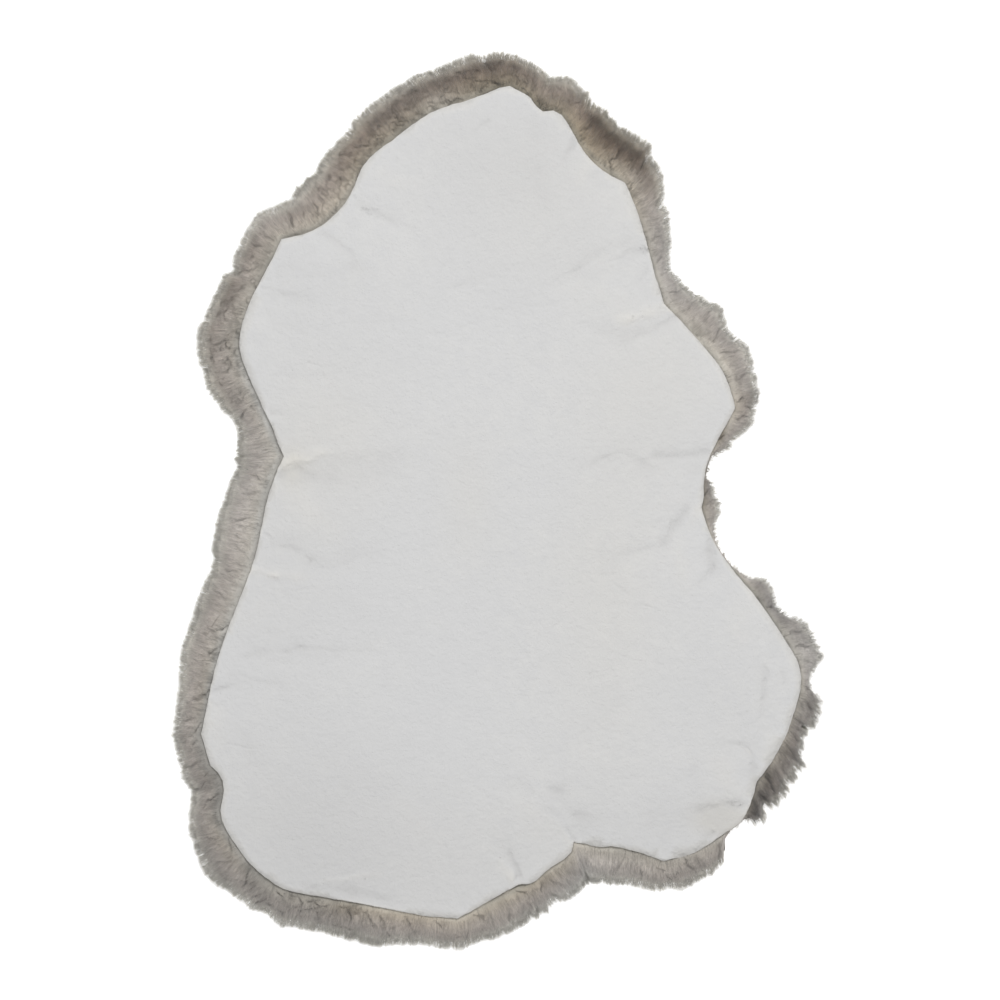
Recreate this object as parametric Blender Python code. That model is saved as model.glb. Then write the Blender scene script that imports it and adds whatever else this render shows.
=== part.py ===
"""Sheepskin rug: one tanned skin laid wool side down, its cut hide face up.

The rug lies flat on a floor at z = 0. The neck points along +Y and the hide faces +Z.
"""
import math
from collections import namedtuple

import bmesh
import bpy
from mathutils import Matrix, Vector, noise
from mathutils.geometry import delaunay_2d_cdt
from mathutils.kdtree import KDTree

MM = 0.001

# Hide, m
HIDE_THICKNESS = 2.5 * MM
HIDE_EDGE_HEIGHT = 29 * MM       # underside of the hide above the floor, at its cut edge
HIDE_RISE = 7 * MM               # how much higher the middle is carried by its denser wool
RISE_LENGTH = 55 * MM            # distance from the edge over which the hide rises
WAVE_HEIGHT = 2.6 * MM           # broad unevenness of the skin
WAVE_LENGTH = 210 * MM
EDGE_WAVE_HEIGHT = 1.8 * MM      # shorter waves along the cut edge
EDGE_WAVE_LENGTH = 60 * MM
SKIN_CELL = 27 * MM              # spacing of the skin's surface points
GRID_CLEARANCE = 0.55            # share of a cell kept free beside points of an edge or crease
LINE_STEP = 19 * MM              # spacing of points along a crease
LINE_CLEARANCE = 8 * MM          # nearest that two crease points lie to each other or the edge
CREASE_SHOULDER = 1.15           # where a crease's side points lie, as a share of its half width
CREASE_END = 0.55                # share of its height that a crease still has at its ends

# Fleece, m
HIDE_TO_WOOL = 0.35 * MM         # gap between the skin's sheet and the wool's solid
LOCK_PITCH = 11.6 * MM           # spacing of the rim's locks along the cut edge
LOCK_MIN_REACH = 9 * MM          # a shorter stretch of rim has no lock of its own
LOCK_TIP_HEIGHT = 3.2 * MM
LUMP_LENGTH = 34 * MM            # size of the lumps in which the locks bunch
LUMP_REACH = 0.13                # share by which a bunch reaches more or less
LUMP_HEIGHT = 0.10               # share by which a bunch stands higher or lower
LOCK_REACH = 0.18                # share by which one lock reaches more or less
LOCK_SWING = 0.10                # how far a lock bends aside, as a share of its pitch
LOCK_CHANGE = 7.5 * MM           # distance over which one lock comes to differ from the next
FAN_LENGTH = 30 * MM             # stretch of edge over which the wool's direction is even
FLOOR_CELL = 42 * MM             # spacing of points on the underside
FURROW_DEPTH = 3.5 * MM          # depth of the hollows between the underside's lumps
FURROW_SPACING = 71 * MM
FURROW_SHARE = 0.12              # how much of the underside is hollow
REST_PATCH = 70 * MM             # radius of the pressed flat patch in the middle

# Share of the wool's reach and of the edge's height, from the hide's edge to the locks' roots
Tier = namedtuple("Tier", "reach height")
TIERS = (
    Tier(0.00, 1.00),
    Tier(0.30, 0.90),
    Tier(0.56, 0.64),
)
FLOOR_REACH = 0.60
Bend = namedtuple("Bend", "reach width height")
LOCK_BEND = Bend(0.80, 0.74, 9.5 * MM)
LOCK_TIP_WIDTH = 0.30

# One layer of unevenness for each use, so that no two follow each other
SKIN_WAVES, EDGE_WAVES, BUNCH_REACH, BUNCH_HEIGHT = 0.4, 8.2, 3.7, 5.1
LOCK_SWINGS, LOCK_LENGTHS, FURROWS = 1.9, 6.6, 2.2

# Angles between faces over which a surface looks creased and not round
CUT_EDGE_DEGREES = 50
LOCK_EDGE_DEGREES = 80

SHARP, ROUND = True, False

# The cut edge, clockwise from the neck: place in mm, a corner or a round stretch, how far the
# wool shows beyond it in mm, and the angle in degrees by which the wool is brushed aside.
Station = namedtuple("Station", "x y corner wool brushed")
HIDE_EDGE = (
    # neck
    Station(10, 457, ROUND, 39, 0),
    Station(32, 444, SHARP, 33, 0),
    Station(49, 428, SHARP, 39, 0),
    Station(67, 427, ROUND, 37, 0),
    Station(98, 381, ROUND, 47, 0),
    Station(138, 348, SHARP, 45, 0),
    Station(162, 283, ROUND, 28, 0),
    # right shoulder
    Station(182, 216, SHARP, 31, 0),
    Station(215, 182, ROUND, 39, 0),
    Station(245, 147, ROUND, 36, 0),
    Station(258, 101, SHARP, 27, -10),
    Station(246, 78, ROUND, 22, -10),
    Station(233, 47, ROUND, 2, 0),
    # right flank, where the wool is worn back under the skin
    Station(226, 18, ROUND, 8, 0),
    Station(223, -8, SHARP, 19, 0),
    Station(233, -37, ROUND, 8, 0),
    Station(250, -65, ROUND, 2, 0),
    Station(272, -91, ROUND, 14, 0),
    # right hind leg, its wool brushed down
    Station(323, -165, ROUND, 33, 0),
    Station(333, -198, ROUND, 14, 0),
    Station(330, -218, ROUND, 28, -10),
    Station(293, -296, ROUND, 36, -20),
    Station(283, -313, SHARP, 34, -25),
    Station(267, -354, ROUND, 7, -25),
    Station(254, -364, ROUND, 2, 0),
    Station(236, -375, ROUND, 27, 0),
    # tail
    Station(182, -395, SHARP, 32, 0),
    Station(152, -386, ROUND, 37, 0),
    Station(112, -382, SHARP, 39, 0),
    Station(82, -375, SHARP, 48, 0),
    Station(79, -388, ROUND, 49, 0),
    Station(60, -404, ROUND, 41, 0),
    Station(31, -423, SHARP, 39, 0),
    Station(-45, -460, SHARP, 33, 0),
    # left hind leg
    Station(-131, -447, ROUND, 41, 0),
    Station(-234, -429, ROUND, 38, 0),
    Station(-262, -411, ROUND, 42, 0),
    Station(-303, -356, ROUND, 43, 0),
    Station(-306, -341, SHARP, 37, 0),
    Station(-302, -319, ROUND, 37, 0),
    Station(-306, -302, ROUND, 36, 0),
    Station(-316, -292, SHARP, 34, 0),
    Station(-326, -257, SHARP, 31, 0),
    # left flank
    Station(-307, -172, ROUND, 41, 0),
    Station(-268, -64, ROUND, 45, 0),
    Station(-255, 5, ROUND, 48, 0),
    Station(-248, 29, ROUND, 47, 0),
    Station(-238, 48, SHARP, 45, 0),
    Station(-265, 114, ROUND, 41, 0),
    # left shoulder
    Station(-285, 170, ROUND, 48, 0),
    Station(-262, 241, ROUND, 41, 0),
    Station(-239, 287, SHARP, 38, 0),
    Station(-213, 293, ROUND, 37, 0),
    Station(-188, 307, ROUND, 47, 0),
    Station(-162, 338, ROUND, 47, 0),
    Station(-142, 375, ROUND, 44, 0),
    Station(-81, 422, ROUND, 48, 0),
    Station(-41, 438, ROUND, 46, 0),
)

# The skin's main creases, mm: two ends, how far the line bows to its left, half width across,
# and how far it stands up (a ridge) or sinks (a trough).
Crease = namedtuple("Crease", "x0 y0 x1 y1 bow half_width rise")
CREASES = (
    # from the left flank's notch and below it
    Crease(-222, 50, -110, 61, -4, 10, 3.4),
    Crease(-214, 34, -128, 40, 4, 9, -2.6),
    Crease(-246, -46, -141, -68, 5, 11, -3.2),
    Crease(-296, -175, -136, -170, -6, 10, -2.6),
    # left shoulder
    Crease(-246, 136, -163, 145, -8, 10, -2.4),
    Crease(-150, 322, -97, 286, 5, 10, -2.8),
    Crease(-208, 284, -141, 253, -5, 10, 2.2),
    # right shoulder
    Crease(158, 268, 68, 242, 9, 11, -2.6),
    Crease(177, 197, 101, 187, 13, 10, -3.6),
    # worn right flank
    Crease(212, 46, 112, 39, -6, 10, -2.4),
    Crease(208, -10, 134, -61, 6, 11, -4.0),
    # tail
    Crease(250, -338, 190, -345, 4, 9, -2.2),
    Crease(76, -358, 35, -314, -5, 10, 3.0),
    Crease(18, -406, -4, -372, 3, 9, -3.2),
)


def clear_scene():
    for item in list(bpy.data.objects):
        bpy.data.objects.remove(item, do_unlink=True)


# ---------------------------------------------------------------- cut edge of the hide
def station_tangent(before, here, after):
    span = (here - before).length + (after - here).length
    return (after - before) / span


def span_curve(a, b, tangent_a, tangent_b, steps):
    """Cubic from a to b, leaving along one tangent and arriving along the other."""
    length = (b - a).length
    for step in range(steps):
        t = step / steps
        yield (a * (2 * t**3 - 3 * t**2 + 1) + tangent_a * length * (t**3 - 2 * t**2 + t)
               + b * (3 * t**2 - 2 * t**3) + tangent_b * length * (t**3 - t**2)), t


def edge_runs(steps=24):
    """Dense samples (place, wool, brushed) of the edge, split into runs at its corners."""
    count = len(HIDE_EDGE)
    places = [Vector((s.x, s.y)) * MM for s in HIDE_EDGE]
    runs, run = [], []
    first = next(i for i, s in enumerate(HIDE_EDGE) if s.corner)
    for i in range(first, first + count):
        here, after = HIDE_EDGE[i % count], HIDE_EDGE[(i + 1) % count]
        a, b = places[i % count], places[(i + 1) % count]
        straight = (b - a).normalized()
        tangent_a = straight if here.corner else station_tangent(places[(i - 1) % count], a, b)
        tangent_b = straight if after.corner else station_tangent(a, b, places[(i + 2) % count])
        for place, t in span_curve(a, b, tangent_a, tangent_b, steps):
            run.append((place, (here.wool + (after.wool - here.wool) * t) * MM,
                        here.brushed + (after.brushed - here.brushed) * t))
        if after.corner:
            run.append((b, after.wool * MM, after.brushed))
            runs.append(run)
            run = []
    return runs


def spread_evenly(run, pitch):
    """Points one pitch apart along a run, its far end left to the next run."""
    lengths = [0.0]
    for (a, _, _), (b, _, _) in zip(run, run[1:]):
        lengths.append(lengths[-1] + (b - a).length)
    parts = max(1, round(lengths[-1] / pitch))
    points, j = [], 0
    for part in range(parts):
        target = lengths[-1] * part / parts
        while lengths[j + 1] < target:
            j += 1
        t = (target - lengths[j]) / (lengths[j + 1] - lengths[j])
        (a, wool_a, brush_a), (b, wool_b, brush_b) = run[j], run[j + 1]
        points.append((a.lerp(b, t), wool_a + (wool_b - wool_a) * t,
                       brush_a + (brush_b - brush_a) * t))
    return points


def wool_directions(places, brushed):
    """The way the wool points at each place: away from the hide, evened out along the edge."""
    count = len(places)
    raw = []
    for i in range(count):
        along = (places[(i + 1) % count] - places[i - 1]).normalized()
        raw.append(Vector((-along.y, along.x)))
    reach = int(3 * FAN_LENGTH / LOCK_PITCH)
    directions = []
    for i in range(count):
        total = Vector((0.0, 0.0))
        for k in range(-reach, reach + 1):
            total += raw[(i + k) % count] * math.exp(-0.5 * (k * LOCK_PITCH / FAN_LENGTH) ** 2)
        turn = Matrix.Rotation(math.radians(brushed[i]), 2)
        directions.append(turn @ total.normalized())
    return directions


def lumpiness(place, length, layer):
    """Smooth unevenness between -1 and 1, the same each time it is asked for."""
    return noise.noise(Vector((place.x / length, place.y / length, layer)))


def rug_edge():
    """The hide's rim points with the wool's direction and reach at each."""
    samples = [sample for run in edge_runs() for sample in spread_evenly(run, LOCK_PITCH)]
    places = [place for place, _, _ in samples]
    directions = wool_directions(places, [brushed for _, _, brushed in samples])
    wool = [reach * (1 + LUMP_REACH * lumpiness(place, LUMP_LENGTH, BUNCH_REACH))
            for place, reach, _ in samples]
    return places, directions, wool


# ---------------------------------------------------------------- shape of the skin
def crease_line(crease):
    """Points along a crease, and the direction across it."""
    a, b = Vector((crease.x0, crease.y0)) * MM, Vector((crease.x1, crease.y1)) * MM
    along = b - a
    across = Vector((-along.y, along.x)).normalized()
    steps = max(3, round(along.length / LINE_STEP))
    for step in range(steps + 1):
        t = step / steps
        yield a + along * t + across * crease.bow * MM * 4 * t * (1 - t), across


def crease_height(place):
    height = 0.0
    for crease in CREASES:
        a, b = Vector((crease.x0, crease.y0)) * MM, Vector((crease.x1, crease.y1)) * MM
        along = b - a
        across = Vector((-along.y, along.x)).normalized()
        t = (place - a).dot(along) / along.length_squared
        middle = min(max(t, 0.0), 1.0)
        off = (place - a).dot(across) - crease.bow * MM * 4 * middle * (1 - middle)
        beyond = (t - middle) * along.length
        width = crease.half_width * MM
        fade = CREASE_END + (1 - CREASE_END) * math.sin(math.pi * middle)
        height += crease.rise * MM * fade * math.exp(-(off**2 + beyond**2) / width**2)
    return height


class Skin:
    """The height of the hide's underside anywhere on the rug."""

    def __init__(self, places):
        self.edge = KDTree(len(places))
        for i, place in enumerate(places):
            self.edge.insert((place.x, place.y, 0.0), i)
        self.edge.balance()

    def edge_distance(self, place):
        return self.edge.find((place.x, place.y, 0.0))[2]

    def underside(self, place):
        inward = self.edge_distance(place)
        rise = HIDE_RISE * (1 - math.exp(-inward / RISE_LENGTH))
        waves = WAVE_HEIGHT * lumpiness(place, WAVE_LENGTH, SKIN_WAVES)
        waves += EDGE_WAVE_HEIGHT * lumpiness(place, EDGE_WAVE_LENGTH, EDGE_WAVES)
        return HIDE_EDGE_HEIGHT + rise + waves + crease_height(place)


def grid_points(outline, cell):
    """A grid of points, every other row moved over, across the outline's bounding box."""
    left, right = min(p.x for p in outline), max(p.x for p in outline)
    low, high = min(p.y for p in outline), max(p.y for p in outline)
    row_height = cell * math.sqrt(3) / 2
    for row in range(int((high - low) / row_height) + 1):
        for column in range(int((right - left) / cell) + 2):
            offset = cell / 2 if row % 2 else 0.0
            yield Vector((left + offset + cell * column, low + row_height * row))


def fill_outline(outline, lines, cell):
    """Triangles over an outline, as points and faces; the outline's points come first."""
    tree = KDTree(len(outline) + len(lines))
    for i, place in enumerate(outline + lines):
        tree.insert((place.x, place.y, 0.0), i)
    tree.balance()
    inner = list(lines)
    for place in grid_points(outline, cell):
        if tree.find((place.x, place.y, 0.0))[2] > cell * GRID_CLEARANCE:
            inner.append(place)
    points = [p / MM for p in outline + inner]
    ring = list(range(len(outline)))
    found, _, faces, origin, _, _ = delaunay_2d_cdt(points, [], [ring], 1, 1e-4)
    used = sorted({i for face in faces for i in face}, key=lambda i: min(origin[i]))
    place_of = {old: new for new, old in enumerate(used)}
    return [found[i] * MM for i in used], [[place_of[i] for i in face] for face in faces]


def skin_lines(skin):
    """Rows of surface points along each crease and on both its sides, clear of the edge."""
    lines = []
    for crease in CREASES:
        for place, across in crease_line(crease):
            for side in (-CREASE_SHOULDER, 0.0, CREASE_SHOULDER):
                point = place + across * side * crease.half_width * MM
                if all((point - other).length > LINE_CLEARANCE for other in lines):
                    if skin.edge_distance(point) > LINE_CLEARANCE:
                        lines.append(point)
    return lines


# ---------------------------------------------------------------- solids
def finish_mesh(bm, name, crisp_degrees):
    bmesh.ops.triangulate(bm, faces=bm.faces)
    bmesh.ops.recalc_face_normals(bm, faces=bm.faces)
    mesh = bpy.data.meshes.new(name)
    bm.to_mesh(mesh)
    bm.free()
    mesh.shade_smooth()
    mesh.set_sharp_from_angle(angle=math.radians(crisp_degrees))
    item = bpy.data.objects.new(name, mesh)
    bpy.context.collection.objects.link(item)
    return item


def build_hide(points, faces, rim, skin):
    """The skin as one sheet of even thickness with a square cut edge."""
    bm = bmesh.new()
    heights = [skin.underside(p) for p in points]
    under = [bm.verts.new((p.x, p.y, h)) for p, h in zip(points, heights)]
    upper = [bm.verts.new((p.x, p.y, h + HIDE_THICKNESS)) for p, h in zip(points, heights)]
    for face in faces:
        bm.faces.new([upper[i] for i in face])
        bm.faces.new([under[i] for i in reversed(face)])
    for i in range(rim):
        j = (i + 1) % rim
        bm.faces.new((under[i], under[j], upper[j], upper[i]))
    return finish_mesh(bm, "hide", CUT_EDGE_DEGREES)


def tier_ring(bm, places, directions, wool, heights, tier):
    ring = []
    for place, direction, reach, height in zip(places, directions, wool, heights):
        lump = 1 + LUMP_HEIGHT * lumpiness(place, LUMP_LENGTH, BUNCH_HEIGHT)
        at = place + direction * reach * tier.reach
        ring.append(bm.verts.new((at.x, at.y, height * tier.height * lump)))
    return ring


def add_lock(bm, root, places, directions, wool, pair):
    """One tapered lock of four sides, from the rim's face to a tip lying on the floor."""
    i, j = pair
    swing = LOCK_SWING * lumpiness(places[i], LOCK_CHANGE, LOCK_SWINGS)
    longer = 1 + LOCK_REACH * lumpiness(places[i], LOCK_CHANGE, LOCK_LENGTHS)
    sections = []
    bends = (LOCK_BEND, Bend(longer, LOCK_TIP_WIDTH, LOCK_TIP_HEIGHT))
    for step, bend in enumerate(bends, start=1):
        ray_i = places[i] + directions[i] * wool[i] * bend.reach
        ray_j = places[j] + directions[j] * wool[j] * bend.reach
        start = ray_i.lerp(ray_j, 0.5 - bend.width / 2 + swing * step)
        end = ray_i.lerp(ray_j, 0.5 + bend.width / 2 + swing * step)
        sections.append([bm.verts.new((start.x, start.y, bend.height)),
                         bm.verts.new((end.x, end.y, bend.height)),
                         bm.verts.new((end.x, end.y, 0.0)),
                         bm.verts.new((start.x, start.y, 0.0))])
    for inner, outer in zip([root] + sections, sections):
        for a in range(4):
            b = (a + 1) % 4
            bm.faces.new((inner[a], inner[b], outer[b], outer[a]))
    bm.faces.new(sections[-1])


def underside_height(place):
    """Nothing on the lumps that bear on the floor, a shallow hollow between them."""
    furrow = abs(lumpiness(place, FURROW_SPACING, FURROWS)) < FURROW_SHARE
    return FURROW_DEPTH if furrow and place.length > REST_PATCH else 0.0


def build_fleece(points, faces, edge, skin):
    """The wool as one lumpy slab under the hide, with a row of locks round its rim."""
    places, directions, wool = edge
    rim = len(places)
    bm = bmesh.new()
    heights = [skin.underside(p) - HIDE_TO_WOOL for p in points]
    top = [bm.verts.new((p.x, p.y, h)) for p, h in zip(points, heights)]
    for face in faces:
        bm.faces.new([top[i] for i in face])
    rings = [top[:rim]]
    for tier in TIERS[1:]:
        rings.append(tier_ring(bm, places, directions, wool, heights, tier))
    for inner, outer in zip(rings, rings[1:]):
        for i in range(rim):
            j = (i + 1) % rim
            bm.faces.new((inner[i], inner[j], outer[j], outer[i]))

    foot = [p + d * w * FLOOR_REACH for p, d, w in zip(places, directions, wool)]
    floor_points, floor_faces = fill_outline(foot, [], FLOOR_CELL)
    floor = [bm.verts.new((p.x, p.y, 0.0 if n < rim else underside_height(p)))
             for n, p in enumerate(floor_points)]
    for face in floor_faces:
        bm.faces.new([floor[i] for i in reversed(face)])

    shoulder = rings[-1]
    for i in range(rim):
        j = (i + 1) % rim
        root = [shoulder[i], shoulder[j], floor[j], floor[i]]
        if min(wool[i], wool[j]) < LOCK_MIN_REACH:
            bm.faces.new(root)
        else:
            add_lock(bm, root, places, directions, wool, (i, j))
    return finish_mesh(bm, "fleece", LOCK_EDGE_DEGREES)


def plain_material(name, colour, roughness):
    material = bpy.data.materials.new(name)
    material.use_nodes = True
    principled = material.node_tree.nodes["Principled BSDF"]
    principled.inputs["Base Color"].default_value = (*colour, 1.0)
    principled.inputs["Roughness"].default_value = roughness
    principled.inputs["Metallic"].default_value = 0.0
    material.diffuse_color = (*colour, 1.0)
    return material


def centre_on_floor(items):
    """Moves the meshes together so that the rug's box is centred over the origin."""
    corners = [v.co for item in items for v in item.data.vertices]
    low = Vector([min(c[k] for c in corners) for k in range(3)])
    high = Vector([max(c[k] for c in corners) for k in range(3)])
    shift = Vector((-(low.x + high.x) / 2, -(low.y + high.y) / 2, -low.z))
    for item in items:
        item.data.transform(Matrix.Translation(shift))


def build_rug():
    clear_scene()
    edge = rug_edge()
    places = edge[0]
    skin = Skin(places)
    points, faces = fill_outline(places, skin_lines(skin), SKIN_CELL)
    hide = build_hide(points, faces, len(places), skin)
    fleece = build_fleece(points, faces, edge, skin)
    hide.data.materials.append(plain_material("hide_suede", (0.665, 0.660, 0.650), 0.88))
    fleece.data.materials.append(plain_material("wool", (0.319, 0.296, 0.270), 0.95))
    centre_on_floor([hide, fleece])


build_rug()
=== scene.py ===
import math

import bmesh
import bpy
import numpy as np
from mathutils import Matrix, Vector, noise
from mathutils.kdtree import KDTree


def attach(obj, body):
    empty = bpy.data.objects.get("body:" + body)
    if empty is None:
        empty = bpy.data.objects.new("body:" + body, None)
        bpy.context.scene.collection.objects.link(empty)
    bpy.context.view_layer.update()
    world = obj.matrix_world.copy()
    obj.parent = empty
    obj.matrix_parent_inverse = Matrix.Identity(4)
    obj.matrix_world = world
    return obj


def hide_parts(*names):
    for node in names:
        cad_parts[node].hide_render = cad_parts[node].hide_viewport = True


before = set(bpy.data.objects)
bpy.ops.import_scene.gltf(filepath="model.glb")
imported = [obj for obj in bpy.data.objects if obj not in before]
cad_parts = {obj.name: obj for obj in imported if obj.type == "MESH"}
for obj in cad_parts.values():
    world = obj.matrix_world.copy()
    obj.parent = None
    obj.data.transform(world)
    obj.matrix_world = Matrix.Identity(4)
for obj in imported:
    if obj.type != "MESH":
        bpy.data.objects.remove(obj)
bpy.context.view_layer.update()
MM = 0.001


# ---------------------------------------------------------------- the hide
# A sheep's skin, tanned and shaved to an even thickness, with the flesh side up. It is one
# sheet, cut round freehand with a knife, and lies on its own wool with the soft creases
# that folding and drying leave in it.

HIDE_SPLITS = 2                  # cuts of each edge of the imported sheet
CREASE_SPLITS = 3                # further halvings beside the fine creases
CREASE_CELL = 2.2 * MM           # no shorter edge is halved
CREASE_REACH, MARK_REACH = 1.6, 1.5  # how far that goes, in half widths and in radii
SMOOTH_PASSES = 40
FOLD_SHARE = 0.30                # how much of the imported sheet's folds is left after pressing
SETTLE_PASSES = 3                # last smoothing, after which the sheet lies evenly
KNIFE_WOBBLE = 0.55 * MM         # how far the knife strayed from its line
KNIFE_WOBBLE_LENGTH = 9 * MM
FOLD_GAIN = 0.75                 # how high the soft folds stand, of the heights in their table
FOLD_STRAY = 2.2 * MM            # how far creases and folds stray from their lines
FOLD_STRAY_LENGTH = 15 * MM
FOLD_UNEVEN = 0.9                # how unevenly they are pressed in along their lines
END_STRETCH = 0.7                # how much more softly they end than they fall off sideways
CREASE_DEEPEST = 1.5 * MM        # so that the sheet keeps some thickness everywhere
COCKLE_HEIGHT = 0.28 * MM        # small waves left by drying
COCKLE_LENGTH = 34 * MM
CREASE_PAINTED_SHADING = 0.25               # painted shade: darker for each mm that a crease is deep; painted highlight: paler for each mm of rise
FOLD_PAINTED_SHADING = 0.42                 # the same for folds
PAINTED_SHADING_SPREAD = 1.3                # how much wider than a crease its painted shade and highlight lie
CUT_BAND = 0.4 * MM              # what lies this near the cut follows the knife's wobble
EDGE_BAND = 3 * MM               # strip along the cut that is painted lighter, as a highlight where the cut edge catches light
EDGE_PULL = 16 * MM              # how far in the sheet gives way where the knife strayed
noise.seed_set(41)               # creases stray and lumps bend alike on each run

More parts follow.
